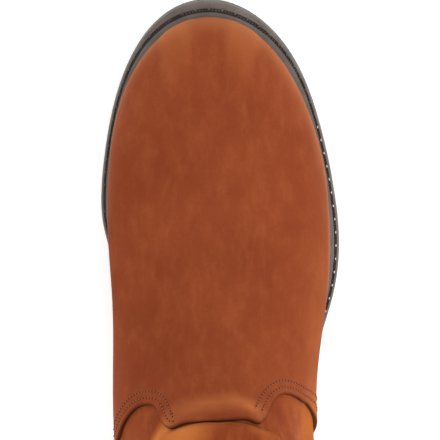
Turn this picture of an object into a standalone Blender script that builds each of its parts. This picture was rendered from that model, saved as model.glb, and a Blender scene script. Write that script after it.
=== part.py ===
"""Pull-on western work boot for the right foot, empty, standing on its sole.

Metres, +Z up. The toe points along -Y and the inner (medial) side of the foot is +X.
The form is worked out in the boot's own terms: along (from the back of the sole to the toe tip),
across (from the centre line, medial side positive) and up (from the floor).
"""

import math

import bmesh
import bpy
import numpy as np
from mathutils import Vector

# Driving sizes of the sole
SOLE_LENGTH = 0.306
BALL_WIDTH = 0.1115
HEEL_HEIGHT = 0.028
HEEL_LENGTH = SOLE_LENGTH / 4
HEEL_TAPER = 0.003
HEEL_INSET = 0.0012
HEEL_HOLLOW = 0.004
TOE_SPRING = 0.0105
SOLE_THICKNESS = 0.0075
SEAT_THINNING = 0.8
SOLE_BEVEL_WIDTH = 0.0022
SOLE_BEVEL_HEIGHT = 0.0016
SIDE_GROOVE_DEPTH = 0.0010
LUG_DEPTH = 0.0045
CENTRE_SHIFT = 0.0033

# Driving sizes of the upper. The overhangs are how far the sole stands out round it.
TOE_OVERHANG = 0.0096
HEEL_OVERHANG = 0.0029
SIDE_OVERHANG = 0.00725
UPPER_LENGTH = SOLE_LENGTH - TOE_OVERHANG - HEEL_OVERHANG
FOOT_WIDTH = BALL_WIDTH - 2 * SIDE_OVERHANG
INSTEP_HEIGHT = 0.112
HEEL_RISE = 0.84
TOE_RISE = 0.93
THROAT_FALL = 0.10
SHAFT_HEIGHT = 0.290
SHAFT_DEPTH = 0.131
SHAFT_WIDTH = 0.094
SCALLOP = 0.018
SHAFT_SHIFT = -0.0033
WALL = 0.0022

# Pieces laid on the upper and round it
OVERLAY_THICKNESS = 0.0018
WELT_THICKNESS = 0.0038
WELT_RIDGE_HEIGHT = 0.0016
WELT_RIDGE_WIDTH = 0.0018
WELT_GROOVE_WIDTH = 0.0016
WELT_GROOVE_DEPTH = 0.0009
WELT_INSET = 0.0005
WELT_CLEARANCE = 0.0010
WELT_GROOVE_START = 0.22
WELT_GROOVE_LIMIT = 0.70
WELT_GROOVE_FLANK = 0.08
WELT_RIM_START = 0.94
WELT_RIM_HEIGHT = 0.80
WELT_LEAN = 0.07
INSOLE_THICKNESS = 0.0040
BINDING_THICKNESS = 0.0010
BINDING_DEPTH = 0.0080
PIPING_WIDTH = 0.0032
PIPING_HEIGHT = 0.0016
STRAP_WIDTH = 0.026
STRAP_THICKNESS = 0.0020
STRAP_OUTER_DROP = 0.056
STRAP_INNER_DROP = 0.046
STRAP_RISE = 0.023
STRAP_LOOP_WIDTH = 0.0125
STRAP_EASE = 0.008
STRAP_STEPS = 6
SEAM_STEPS = 12
SEAM_START = 0.35

# The pull loop over the collar. rise: share of STRAP_RISE; out: share of half the loop's width;
# thick: 1 where the strap's own half thickness is added.
STRAP_LOOP = (
    ("leaving the collar", 0.38, 1.00, 1),
    ("widest", 0.72, 0.78, 1),
    ("shoulder", 0.93, 0.40, 0),
)

# Tread. The lugs' near and far sides are shares of the half width.
LUG_FIRST = 0.152
LUG_PITCH = 0.0165
LUG_TOE_MARGIN = 0.005
LUG_ROWS = int((SOLE_LENGTH - LUG_TOE_MARGIN - LUG_FIRST) / LUG_PITCH)
LUG_GROOVE = 0.0046
LUG_SINK = 0.002
OUTER_LUG = (0.56, 0.965)
INNER_LUG = (0.06, 0.46)
INNER_LUG_SHIFT = LUG_PITCH * 0.3
HEEL_BARS = 4
HEEL_GROOVE = 0.0046

# Clearance between pieces that touch, and of the pieces that stand on the curved seat
GAP = 0.0003
SEAT_GAP = 0.0006

# The sole's plan. station: share of the length from the toe tip; half: share of half the ball
# width; centre: the middle's shift to the medial side, as a share of half the ball width.
SOLE_PLAN = (
    ("toe tip", 0.000, 0.935, 0.042),
    ("toe", 0.080, 0.928, 0.010),
    ("toe joint", 0.186, 0.931, -0.013),
    ("little toe", 0.248, 0.956, -0.028),
    ("ball", 0.340, 1.000, -0.062),
    ("behind ball", 0.401, 0.965, -0.105),
    ("fore waist", 0.462, 0.900, -0.118),
    ("waist", 0.520, 0.808, -0.112),
    ("shank", 0.600, 0.715, -0.095),
    ("narrow waist", 0.690, 0.655, -0.055),
    ("heel breast", 0.770, 0.665, -0.025),
    ("heel", 0.870, 0.700, 0.000),
    ("heel back", 1.000, 0.700, 0.000),
)
TOE_ROUND = 0.278
HEEL_ROUND = 0.135

# The seat on which the upper stands. station: share of the length from the back of the heel;
# rise: share of the seat's rise from the forefoot to the heel.
SEAT_RISE = (
    ("heel back", 0.00, 1.000),
    ("heel seat", 0.16, 1.000),
    ("heel breast", 0.25, 1.000),
    ("behind breast", 0.29, 0.955),
    ("shank", 0.34, 0.825),
    ("arch", 0.42, 0.500),
    ("fore arch", 0.49, 0.205),
    ("tread start", 0.56, 0.030),
    ("tread", 0.62, 0.000),
    ("tread end", 0.78, 0.000),
)
SPRING_START = 0.76
SPRING_POWER = 1.9

# The upper at its fullest, over its narrower foot on the sole. station: share of the upper's
# length from its heel; full: share of half the foot width; centre: as above, of that half.
FOOT_PLAN = (
    ("heel", 0.00, 0.790, 0.000),
    ("ankle", 0.20, 0.800, -0.010),
    ("shank", 0.33, 0.835, -0.045),
    ("instep", 0.42, 0.880, -0.065),
    ("waist", 0.50, 0.916, -0.100),
    ("behind ball", 0.58, 0.956, -0.128),
    ("ball", 0.68, 0.990, -0.108),
    ("toe joint", 0.80, 0.975, -0.056),
    ("toe", 0.92, 0.968, -0.005),
    ("toe tip", 1.00, 0.980, 0.010),
)
FEATHER_INSET = 0.0078
FULL_HEIGHT = 0.026
RIDGE_SHIFT = 0.0035

# The rings of the upper, from the sole to the collar. back and front are a ring's ends:
# along, as a share of the upper's length (foot) or of the shaft's depth (shaft), and up, as
# a share of the instep's height above the seat (foot) or of the shaft's height (shaft). The
# foot's shares are scaled by HEEL_RISE at the back, and by TOE_RISE less THROAT_FALL in front.
# back_round and front_round: how far the ends' rounding reaches, as a share of the length.
FOOT_RINGS = (
    ("feather", 0.0185, 0.000, 0.9930, 0.000, 0.120, 0.256),
    ("welt", 0.0140, 0.082, 0.9990, 0.070, 0.120, 0.256),
    ("toe wall", 0.0070, 0.155, 1.0000, 0.155, 0.122, 0.255),
    ("toe shoulder", 0.0025, 0.225, 0.9880, 0.248, 0.124, 0.255),
    ("toe crown", 0.0005, 0.287, 0.9600, 0.330, 0.126, 0.275),
    ("toe cap", 0.0010, 0.345, 0.9150, 0.397, 0.128, 0.303),
    ("toe joint", 0.0030, 0.402, 0.8480, 0.455, 0.132, 0.335),
    ("ball", 0.0075, 0.470, 0.7570, 0.521, 0.136, 0.345),
    ("waist", 0.0125, 0.540, 0.6640, 0.598, 0.140, 0.330),
    ("instep", 0.0185, 0.615, 0.5780, 0.693, 0.144, 0.290),
    ("high instep", 0.0240, 0.692, 0.5010, 0.803, 0.148, 0.245),
    ("throat", 0.0275, 0.770, 0.4420, 0.917, 0.156, 0.208),
)
# Half widths of the shaft as shares of half its width; along from the upper's heel as a share
# of the shaft's depth; rounding as a share of the depth.
SHAFT_RINGS = (
    ("ankle", 0.064, 0.405, 0.898, 0.423, 0.400, 0.425, 0.842),
    ("above ankle", 0.062, 0.452, 0.873, 0.470, 0.420, 0.420, 0.836),
    ("low shaft", 0.054, 0.515, 0.880, 0.533, 0.440, 0.440, 0.862),
    ("mid shaft", 0.034, 0.655, 0.915, 0.660, 0.470, 0.470, 0.916),
    ("high shaft", 0.014, 0.810, 0.960, 0.810, 0.490, 0.490, 0.965),
    ("collar", 0.000, 1.000, 1.000, 1.000, 0.500, 0.500, 1.000),
)

# The top edge of the vamp and counter. place: 0 at the back of the heel, 1 at the front;
# ring: the height on the upper, counted in rings.
EDGE_LINE = (
    ("heel back", 0.000, 10.30),
    ("counter", 0.160, 9.60),
    ("counter side", 0.270, 7.60),
    ("side seam", 0.380, 5.40),
    ("side", 0.490, 6.60),
    ("outer leg", 0.595, 8.30),
    ("leg", 0.645, 8.85),
    ("notch outside", 0.690, 9.20),
    ("notch", 0.735, 9.50),
    ("notch inside", 0.770, 9.82),
    ("tongue foot", 0.797, 10.20),
    ("tongue side", 0.818, 10.65),
    ("tongue corner", 0.845, 11.00),
    ("tongue top", 0.900, 11.12),
    ("front", 1.000, 11.15),
)
SEAM_PLACE = 0.380
SEAM_GAP = 0.0016
# The side seam's place on the upper, from the vamp to the collar.
SEAM_LINE = (
    ("foot", 5.40, 0.380),
    ("low ankle", 8.0, 0.405),
    ("ankle", 10.0, 0.452),
    ("above ankle", 12.0, 0.486),
    ("shaft", 14.0, 0.497),
    ("collar", 17.0, 0.500),
)

# Where the mesh is divided, from the back of the heel to the front, and up the upper
PLACES = (
    0.0, 0.05, 0.10, 0.15, 0.20, 0.25, 0.29, 0.335, 0.38, 0.42, 0.46, 0.50, 0.54,
    0.58, 0.63, 0.67, 0.705, 0.74, 0.77, 0.79, 0.81, 0.835, 0.87, 0.91, 0.955, 1.0,
)
ROWS_BELOW = 11
ROWS_ABOVE = 8
SOLE_STATIONS = 24

LAST_RING = len(FOOT_RINGS) + len(SHAFT_RINGS) - 1
UPPER_BACK = HEEL_OVERHANG
HALF_SOLE = BALL_WIDTH / 2
HALF_FOOT = FOOT_WIDTH / 2
TREAD_SEAT = LUG_DEPTH + SOLE_THICKNESS
HEEL_SEAT = HEEL_HEIGHT + GAP + SEAT_THINNING * SOLE_THICKNESS

# Looks: colour and roughness
LEATHER = ((0.30, 0.085, 0.030, 1.0), 0.6)
SHAFT_LEATHER = ((0.27, 0.075, 0.027, 1.0), 0.6)
RUBBER = ((0.075, 0.066, 0.060, 1.0), 0.75)
WELT_RUBBER = ((0.12, 0.105, 0.095, 1.0), 0.7)
LINING = ((0.42, 0.30, 0.18, 1.0), 0.85)


def natural_spline(knots, values):
    """A function that runs smoothly through the values at the knots."""
    x = np.array(knots, float)
    y = np.array(values, float)
    n = len(x)
    step = np.diff(x)
    system = np.eye(n)
    right = np.zeros(n)
    for i in range(1, n - 1):
        system[i, i - 1] = step[i - 1]
        system[i, i] = 2 * (step[i - 1] + step[i])
        system[i, i + 1] = step[i]
        right[i] = 6 * ((y[i + 1] - y[i]) / step[i] - (y[i] - y[i - 1]) / step[i - 1])
    bend = np.linalg.solve(system, right)

    def value(at):
        at = min(max(at, x[0]), x[-1])
        i = int(min(max(np.searchsorted(x, at) - 1, 0), n - 2))
        before, after, h = x[i + 1] - at, at - x[i], step[i]
        return float(
            (bend[i] * before**3 + bend[i + 1] * after**3) / (6 * h)
            + (y[i] / h - bend[i] * h / 6) * before
            + (y[i + 1] / h - bend[i + 1] * h / 6) * after
        )

    return value


def column(table, at, value):
    return natural_spline([row[at] for row in table], [row[value] for row in table])


def ease(share):
    share = min(max(share, 0.0), 1.0)
    return share * share * (3 - 2 * share)


def rounding(distance, reach):
    """The share of its width that a round end has reached, at a distance from its tip."""
    if distance >= reach:
        return 1.0
    return math.sqrt(max(0.0, 1 - (1 - distance / reach) ** 2))


def share_along(place):
    """How far along its ring a place lies; even steps of place turn round ends evenly."""
    return (1 - math.cos(math.pi * place)) / 2


def at_place(around):
    """The place and the side of a position round the boot, from 0 to 2."""
    around = around % 2
    return (around, 1) if around <= 1 else (2 - around, -1)


sole_half = column(SOLE_PLAN, 1, 2)
sole_centre = column(SOLE_PLAN, 1, 3)
seat_rise = column(SEAT_RISE, 1, 2)
full_half = column(FOOT_PLAN, 1, 2)
foot_centre = column(FOOT_PLAN, 1, 3)
edge_line = column(EDGE_LINE, 1, 2)
seam_line = column(SEAM_LINE, 1, 2)


def toe_lift(along):
    share = (along / SOLE_LENGTH - SPRING_START) / (1 - SPRING_START)
    return TOE_SPRING * max(0.0, share) ** SPRING_POWER


def smooth_seat(along):
    """The height of the outsole's top face."""
    rise = min(max(seat_rise(along / SOLE_LENGTH), 0.0), 1.0)
    return TREAD_SEAT + (HEEL_SEAT - TREAD_SEAT) * rise + toe_lift(along)


STATIONS = [SOLE_LENGTH * share_along(i / SOLE_STATIONS) for i in range(SOLE_STATIONS + 1)]
STATION_SEATS = [smooth_seat(along) for along in STATIONS]


def seat(along):
    """The outsole's top face as it is built, straight from one station to the next."""
    return float(np.interp(along, STATIONS, STATION_SEATS))


def sole_point(place, side, inset=0.0):
    """A point on the sole's outline, as along and across."""
    along = inset + (SOLE_LENGTH - 2 * inset) * share_along(place)
    from_toe = 1 - along / SOLE_LENGTH
    half = (HALF_SOLE * sole_half(from_toe) - inset) * rounding(
        SOLE_LENGTH - inset - along, TOE_ROUND * SOLE_LENGTH
    )
    half *= rounding(along - inset, HEEL_ROUND * SOLE_LENGTH)
    return along, HALF_SOLE * sole_centre(from_toe) + side * half


def ring_ends():
    """Each ring's two ends, their rounding and the shaft's half width there, in metres."""
    rows = []
    back_rise = INSTEP_HEIGHT * HEEL_RISE
    for _, back, back_up, front, front_up, back_round, front_round in FOOT_RINGS:
        ends = [UPPER_BACK + UPPER_LENGTH * back, UPPER_BACK + UPPER_LENGTH * front]
        front_rise = INSTEP_HEIGHT * (TOE_RISE - THROAT_FALL * front_up)
        rows.append(
            (
                ends[0],
                seat(ends[0]) + SEAT_GAP + back_rise * back_up,
                ends[1],
                seat(ends[1]) + SEAT_GAP + front_rise * front_up,
                back_round * UPPER_LENGTH,
                front_round * UPPER_LENGTH,
                SHAFT_WIDTH / 2 * SHAFT_RINGS[0][7],
            )
        )
    for _, back, back_up, front, front_up, back_round, front_round, half in SHAFT_RINGS:
        rows.append(
            (
                UPPER_BACK + SHAFT_DEPTH * back,
                SHAFT_HEIGHT * back_up,
                UPPER_BACK + SHAFT_DEPTH * front,
                SHAFT_HEIGHT * front_up,
                back_round * SHAFT_DEPTH,
                front_round * SHAFT_DEPTH,
                SHAFT_WIDTH / 2 * half,
            )
        )
    return rows


RING_ROWS = ring_ends()
RING_COLUMNS = [
    natural_spline(range(len(RING_ROWS)), [row[i] for row in RING_ROWS]) for i in range(7)
]
RING_INDEX = {row[0]: i for i, row in enumerate(FOOT_RINGS + SHAFT_RINGS)}


def form(around, ring):
    """A point of the upper's outer face: along, across, up."""
    place, side = at_place(around)
    back, back_up, front, front_up, back_round, front_round, shaft_half = (
        value(ring) for value in RING_COLUMNS
    )
    share = share_along(place)
    along = back + (front - back) * share
    up = back_up + (front_up - back_up) * share
    # Low rings follow the seat's curve; the shaft's last rings follow the scalloped collar
    straight = seat(back) + (seat(front) - seat(back)) * share
    up += (seat(along) - straight) * (1 - ease(ring / RING_INDEX["waist"]))
    topline = ease((ring - RING_INDEX["mid shaft"]) / (LAST_RING - RING_INDEX["mid shaft"]))
    up += SCALLOP * topline * math.sin(math.pi * share) ** 2

    station = (along - UPPER_BACK) / UPPER_LENGTH
    height = up - seat(along)
    fullness = ease(height / FULL_HEIGHT)
    from_toe = 1 - along / SOLE_LENGTH
    foot_half = HALF_SOLE * sole_half(from_toe) - FEATHER_INSET
    foot_half += (HALF_FOOT * full_half(station) - foot_half) * fullness
    into_shaft = ease((ring - RING_INDEX["waist"]) / (RING_INDEX["ankle"] - RING_INDEX["waist"]))
    half = foot_half + (shaft_half - foot_half) * into_shaft
    half *= rounding(front - along, front_round) * rounding(along - back, back_round)
    centre = HALF_SOLE * sole_centre(from_toe)
    centre += (HALF_FOOT * foot_centre(station) - centre) * fullness
    centre += RIDGE_SHIFT * ease(height / INSTEP_HEIGHT * 2)
    centre += (SHAFT_SHIFT - centre) * into_shaft
    return np.array((along, centre + side * half, up))


def outward(around, ring):
    """The upper's outward direction."""
    step = 0.002
    low, high = max(ring - step, 0.0), min(ring + step, float(LAST_RING))
    climb = form(around, high) - form(around, low)
    turn = form(around + step, ring) - form(around - step, ring)
    normal = np.cross(climb, turn)
    return normal / np.linalg.norm(normal)


def off_form(around, ring, offset):
    """A point off the upper's outer face; a cut edge's thickness lies level or on the seat."""
    point = form(around, ring)
    normal = outward(around, ring)
    if 0 < ring < LAST_RING:
        return point + normal * offset
    normal[2] = 0.0
    moved = point + normal / np.linalg.norm(normal) * offset
    if ring == 0:
        moved[2] = seat(moved[0]) + SEAT_GAP
    return moved


def world(point):
    """Along, across and up, as a place in the model."""
    along, across, up = point
    return Vector((across + CENTRE_SHIFT, SOLE_LENGTH / 2 - along, up))


def make_material(name, look):
    colour, roughness = look
    material = bpy.data.materials.new(name)
    material.use_nodes = True
    shader = material.node_tree.nodes["Principled BSDF"]
    shader.inputs["Base Color"].default_value = colour
    shader.inputs["Roughness"].default_value = roughness
    shader.inputs["Metallic"].default_value = 0.0
    material.diffuse_color = colour
    return material


def add_object(name, mesh_maker, look):
    """An object whose faces mesh_maker makes in a bmesh from points in boot terms."""
    work = bmesh.new()
    mesh_maker(work)
    bmesh.ops.recalc_face_normals(work, faces=work.faces)
    mesh = bpy.data.meshes.new(name)
    work.to_mesh(mesh)
    work.free()
    mesh.materials.append(make_material(name, look))
    mesh.shade_smooth()
    mesh.set_sharp_from_angle(angle=math.radians(35))
    thing = bpy.data.objects.new(name, mesh)
    bpy.context.scene.collection.objects.link(thing)
    return thing


def band(work, loops, closed):
    """Faces between loops of points, each loop closed; the loops go round, or have two ends."""
    grid = [[work.verts.new(world(point)) for point in loop] for loop in loops]
    count = len(grid[0])
    last = len(grid) if closed else len(grid) - 1
    for i in range(last):
        here, there = grid[i], grid[(i + 1) % len(grid)]
        for j in range(count):
            k = (j + 1) % count
            # Both faces of a wall are split the same way, so that they stay side by side
            if j < count // 2:
                work.faces.new((here[j], here[k], there[k]))
                work.faces.new((here[j], there[k], there[j]))
            else:
                work.faces.new((here[j], here[k], there[j]))
                work.faces.new((here[k], there[k], there[j]))
    if not closed:
        for end in (grid[0], grid[-1]):
            close_end(work, end)


def close_end(work, loop):
    """Faces across a loop that runs out along one face of a wall and back along the other."""
    count = len(loop)
    for j in range(count // 2 - 1):
        work.faces.new((loop[j], loop[j + 1], loop[count - 2 - j], loop[count - 1 - j]))


def slab(work, levels):
    """A plate between outlines that each go round from the heel tip by the toe tip."""
    grid = [[work.verts.new(world(point)) for point in level] for level in levels]
    count = len(grid[0])
    for low, high in zip(grid, grid[1:]):
        for j in range(count):
            k = (j + 1) % count
            work.faces.new((low[j], low[k], high[k], high[j]))
    for level in (grid[0], grid[-1]):
        half = count // 2
        work.faces.new((level[0], level[1], level[-1]))
        for j in range(1, half - 1):
            work.faces.new((level[j], level[j + 1], level[count - j - 1], level[count - j]))
        work.faces.new((level[half - 1], level[half], level[half + 1]))


def all_round(places):
    """Positions round the boot: the medial side from the back, then the lateral side."""
    return list(places) + [2 - place for place in reversed(places[1:-1])]


def rows_below(place):
    """Rings from the sole to the vamp's or counter's edge."""
    top = edge_line(place)
    return [top * i / ROWS_BELOW for i in range(ROWS_BELOW + 1)]


def rows_above(place):
    """Rings from that edge to the collar."""
    low = edge_line(place)
    rise = (LAST_RING - low) / ROWS_ABOVE
    return [low + rise * i for i in range(1, ROWS_ABOVE)] + [LAST_RING]


def make_upper(look):
    def mesh(work):
        loops = []
        for around in all_round(PLACES):
            place, _ = at_place(around)
            rings = rows_below(place) + rows_above(place)
            outer = [off_form(around, ring, 0.0) for ring in rings]
            inner = [off_form(around, ring, -WALL) for ring in rings]
            loops.append(outer + inner[::-1])
        band(work, loops, closed=True)

    return add_object("upper", mesh, look)


def overlay_loop(around):
    """The section of a leather laid over the upper, from the sole to its top edge."""
    place, _ = at_place(around)
    rings = rows_below(place)
    inner = [off_form(around, ring, GAP) for ring in rings]
    outer = [off_form(around, ring, GAP + OVERLAY_THICKNESS) for ring in rings]
    return outer + inner[::-1]


def make_overlays(look):
    front = [place for place in PLACES if place > SEAM_PLACE - 0.001]
    back = [place for place in PLACES if place < SEAM_PLACE - 0.001] + [SEAM_PLACE - SEAM_GAP]
    vamp_line = front + [2 - place for place in reversed(front[:-1])]
    counter_line = [-place for place in reversed(back[1:])] + back

    def over(line):
        return lambda work: band(work, [overlay_loop(around) for around in line], closed=False)

    add_object("vamp", over(vamp_line), look)
    add_object("counter", over(counter_line), look)


def make_welt(look):
    """A rubber welt: a flange with a stitch groove, and a ridge that hugs the upper."""
    clear = GAP + OVERLAY_THICKNESS + WELT_CLEARANCE
    ring_height = INSTEP_HEIGHT * WELT_LEAN
    flange = WELT_THICKNESS
    ridge = WELT_THICKNESS + WELT_RIDGE_HEIGHT

    def wall(around, height, offset=0.0):
        ring = height / ring_height
        normal = outward(around, ring)
        normal[2] = 0.0
        point = form(around, ring) + normal / np.linalg.norm(normal) * (clear + offset)
        point[2] = seat(point[0]) + SEAT_GAP + height
        return point

    def mesh(work):
        loops = []
        for around in all_round(PLACES):
            place, side = at_place(around)
            rim = sole_point(place, side, WELT_INSET)
            edge = np.array((*rim, 0.0))
            foot = wall(around, 0.0)
            inside = wall(around, flange, WELT_RIDGE_WIDTH)
            inside[2] = 0.0

            def across_flange(share, height):
                point = inside + (edge - inside) * share
                point[2] = seat(point[0]) + SEAT_GAP + height
                return point

            reach = np.linalg.norm(edge - inside)
            groove = min(WELT_GROOVE_START + WELT_GROOVE_WIDTH / reach, WELT_GROOVE_LIMIT)
            bed = flange - WELT_GROOVE_DEPTH
            loops.append(
                [
                    foot,
                    wall(around, flange * 0.5),
                    wall(around, ridge),
                    wall(around, ridge, WELT_RIDGE_WIDTH * 0.7),
                    across_flange(0.0, flange),
                    across_flange(WELT_GROOVE_START, bed),
                    across_flange(groove, bed),
                    across_flange(groove + WELT_GROOVE_FLANK, flange),
                    across_flange(WELT_RIM_START, flange),
                    across_flange(1.0, flange * WELT_RIM_HEIGHT),
                    across_flange(1.0, 0.0),
                ]
            )
        band(work, loops, closed=True)

    return add_object("welt", mesh, look)


def sole_bottom(along):
    """The outsole's underside between its lugs."""
    breast = HEEL_LENGTH / SOLE_LENGTH
    share = along / SOLE_LENGTH
    thin = SEAT_THINNING + (1 - SEAT_THINNING) * ease((share - breast) / (0.5 - breast))
    return smooth_seat(along) - SOLE_THICKNESS * thin


def sole_ring(inset, height):
    """The sole's outline at a height that depends on the station."""
    points = []
    places = [i / SOLE_STATIONS for i in range(SOLE_STATIONS + 1)]
    for around in all_round(places):
        along, across = sole_point(*at_place(around), inset)
        points.append((along, across, height(along)))
    return points


def lug(work, start, end, sides, side):
    """One tread lug between two stations; sides are its near and far side, as shares."""
    near, far = sides
    corners = []
    for along in (start, end):
        place = math.acos(1 - 2 * along / SOLE_LENGTH) / math.pi
        middle = HALF_SOLE * sole_centre(1 - along / SOLE_LENGTH)
        reach = sole_point(place, side)[1] - middle
        corners.append([(along, middle + reach * near), (along, middle + reach * far)])
    plan = [corners[0][0], corners[0][1], corners[1][1], corners[1][0]]
    low = [(along, across, toe_lift(along)) for along, across in plan]
    high = [(along, across, sole_bottom(along) + LUG_SINK) for along, across in plan]
    verts = [work.verts.new(world(point)) for point in low + high]
    for i in range(4):
        j = (i + 1) % 4
        work.faces.new((verts[i], verts[j], verts[4 + j], verts[4 + i]))
    work.faces.new(verts[:4])
    work.faces.new(verts[4:])


def make_outsole(look):
    def at(share):
        return lambda along: sole_bottom(along) + SOLE_THICKNESS * share

    def body(work):
        slab(
            work,
            [
                sole_ring(SOLE_BEVEL_WIDTH, sole_bottom),
                sole_ring(GAP, lambda along: sole_bottom(along) + SOLE_BEVEL_HEIGHT),
                sole_ring(0.0, at(0.42)),
                sole_ring(SIDE_GROOVE_DEPTH, at(0.47)),
                sole_ring(SIDE_GROOVE_DEPTH, at(0.56)),
                sole_ring(0.0, at(0.61)),
                sole_ring(0.0, seat),
            ],
        )

    def tread(work):
        for row in range(LUG_ROWS):
            start = LUG_FIRST + row * LUG_PITCH
            end = start + LUG_PITCH - LUG_GROOVE
            for side in (1, -1):
                lug(work, start, end, OUTER_LUG, side)
                lug(work, start + INNER_LUG_SHIFT, end + INNER_LUG_SHIFT, INNER_LUG, side)

    outsole = add_object("outsole", body, look)
    lugs = add_object("tread_lugs", tread, look)
    join = outsole.modifiers.new("tread", "BOOLEAN")
    join.operation = "UNION"
    join.object = lugs
    join.solver = "EXACT"
    set_guide(lugs)
    return outsole


def set_guide(thing):
    thing.hide_render = True
    thing.display_type = "WIRE"


# The faces of a box whose corners are listed by up, then along, then across
BOX_FACES = (
    (0, 1, 3, 2),
    (4, 5, 7, 6),
    (0, 1, 5, 4),
    (2, 3, 7, 6),
    (0, 2, 6, 4),
    (1, 3, 7, 5),
)


def make_heel(look):
    """A rubber heel block under the seat, its breast slightly hollow, with tread bars."""
    top = HEEL_HEIGHT
    half = SOLE_STATIONS // 2

    def outline(up):
        taper = HEEL_TAPER * (1 - up / top)
        inset = HEEL_INSET + taper
        points = []
        breast = HEEL_LENGTH - 0.8 * taper
        reach = math.acos(1 - 2 * breast / SOLE_LENGTH) / math.pi
        for side, order in ((1, range(1, half + 1)), (-1, range(half, 0, -1))):
            for i in order:
                place = reach * i / half
                if i == half:
                    along = breast
                    across = sole_point(reach, side, inset)[1]
                else:
                    along, across = sole_point(place, side, inset)
                    along = min(along, breast - HEEL_HOLLOW / 2)
                points.append((along, across, up))
        points.insert(half, (breast - HEEL_HOLLOW, 0.0, up))
        return [(inset, 0.0, up)] + points

    def mesh(work):
        levels = [outline(up) for up in (0.0, LUG_DEPTH, top * 0.62, top)]
        grid = [[work.verts.new(world(point)) for point in level] for level in levels]
        count = len(grid[0])
        for low, high in zip(grid, grid[1:]):
            for j in range(count):
                k = (j + 1) % count
                work.faces.new((low[j], low[k], high[k], high[j]))
        work.faces.new(grid[0])
        work.faces.new(grid[-1])

    heel = add_object("heel", mesh, look)

    def grooves(work):
        reach = HEEL_LENGTH / (HEEL_BARS + 1)
        for bar in range(1, HEEL_BARS + 1):
            middle = reach * bar
            corners = []
            for up in (-LUG_DEPTH, LUG_DEPTH):
                for along in (middle - HEEL_GROOVE / 2, middle + HEEL_GROOVE / 2):
                    for across in (-HALF_SOLE, HALF_SOLE):
                        corners.append(work.verts.new(world((along, across, up))))
            for face in BOX_FACES:
                work.faces.new([corners[i] for i in face])

    cutter = add_object("heel_grooves", grooves, look)
    cut = heel.modifiers.new("tread", "BOOLEAN")
    cut.operation = "DIFFERENCE"
    cut.object = cutter
    cut.solver = "EXACT"
    set_guide(cutter)
    return heel


def make_insole(look):
    def mesh(work):
        levels = []
        for height in (SEAT_GAP, SEAT_GAP + INSOLE_THICKNESS):
            level = []
            for around in all_round(PLACES):
                along, across, _ = off_form(around, 0, -WALL - GAP * 1.5)
                level.append((along, across, seat(along) + height))
            levels.append(level)
        slab(work, levels)

    return add_object("insole", mesh, look)


def shaft_point(around, drop, offset):
    """A point near the collar: drop below its edge, or above it where drop is negative."""
    edge = form(around, LAST_RING)
    low_ring = LAST_RING - 1
    fall = edge[2] - form(around, low_ring)[2]
    ring = LAST_RING - min(max(drop, 0.0) / fall, 1.0)
    normal = outward(around, ring)
    normal[2] = 0.0
    normal /= np.linalg.norm(normal)
    point = form(around, ring)
    point[2] = edge[2] - drop
    return point + normal * offset


def make_binding(look):
    """A folded binding over the collar's edge."""
    inside, thick = WALL + GAP, BINDING_THICKNESS
    section = (
        (BINDING_DEPTH, GAP),
        (-GAP, GAP),
        (-GAP, -inside),
        (BINDING_DEPTH, -inside),
        (BINDING_DEPTH, -inside - thick),
        (0.0, -inside - thick),
        (-GAP - thick, -inside / 2),
        (0.0, GAP + thick),
        (BINDING_DEPTH, GAP + thick),
    )

    def mesh(work):
        loops = [
            [shaft_point(around, drop, offset) for drop, offset in section]
            for around in all_round(PLACES)
        ]
        band(work, loops, closed=True)

    return add_object("collar_binding", mesh, look)


# The piping's section. share: of half its width; rise: of its height.
PIPING_SECTION = ((-1, 0.0), (-0.85, 0.6), (0, 1.0), (0.85, 0.6), (1, 0.0), (0, 0.0))


def make_side_seam(name, side, look):
    """A piped seam up the side of the shaft, from the vamp to the pull strap."""
    start = SEAM_LINE[0][1] + SEAM_START
    fall = form(0.5, LAST_RING)[2] - form(0.5, LAST_RING - 1)[2]
    stop = LAST_RING - (STRAP_OUTER_DROP + 0.001) / fall

    def mesh(work):
        loops = []
        for i in range(SEAM_STEPS + 1):
            ring = start + (stop - start) * i / SEAM_STEPS
            place = seam_line(ring)
            turn = 0.001
            here = form(place, ring)
            wide = np.linalg.norm(form(place + turn, ring) - here) / turn
            half = PIPING_WIDTH / 2 / wide
            loop = []
            for share, rise in PIPING_SECTION:
                spot = place + share * half
                around = spot if side > 0 else 2 - spot
                loop.append(off_form(around, ring, 2 * GAP + PIPING_HEIGHT * rise))
            loops.append(loop)
        grid = [[work.verts.new(world(point)) for point in loop] for loop in loops]
        for low, high in zip(grid, grid[1:]):
            for j in range(6):
                k = (j + 1) % 6
                work.faces.new((low[j], low[k], high[k], high[j]))
        for end in (grid[0], grid[-1]):
            work.faces.new((end[0], end[1], end[2], end[5]))
            work.faces.new((end[5], end[2], end[3], end[4]))

    return add_object(name, mesh, look)


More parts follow.
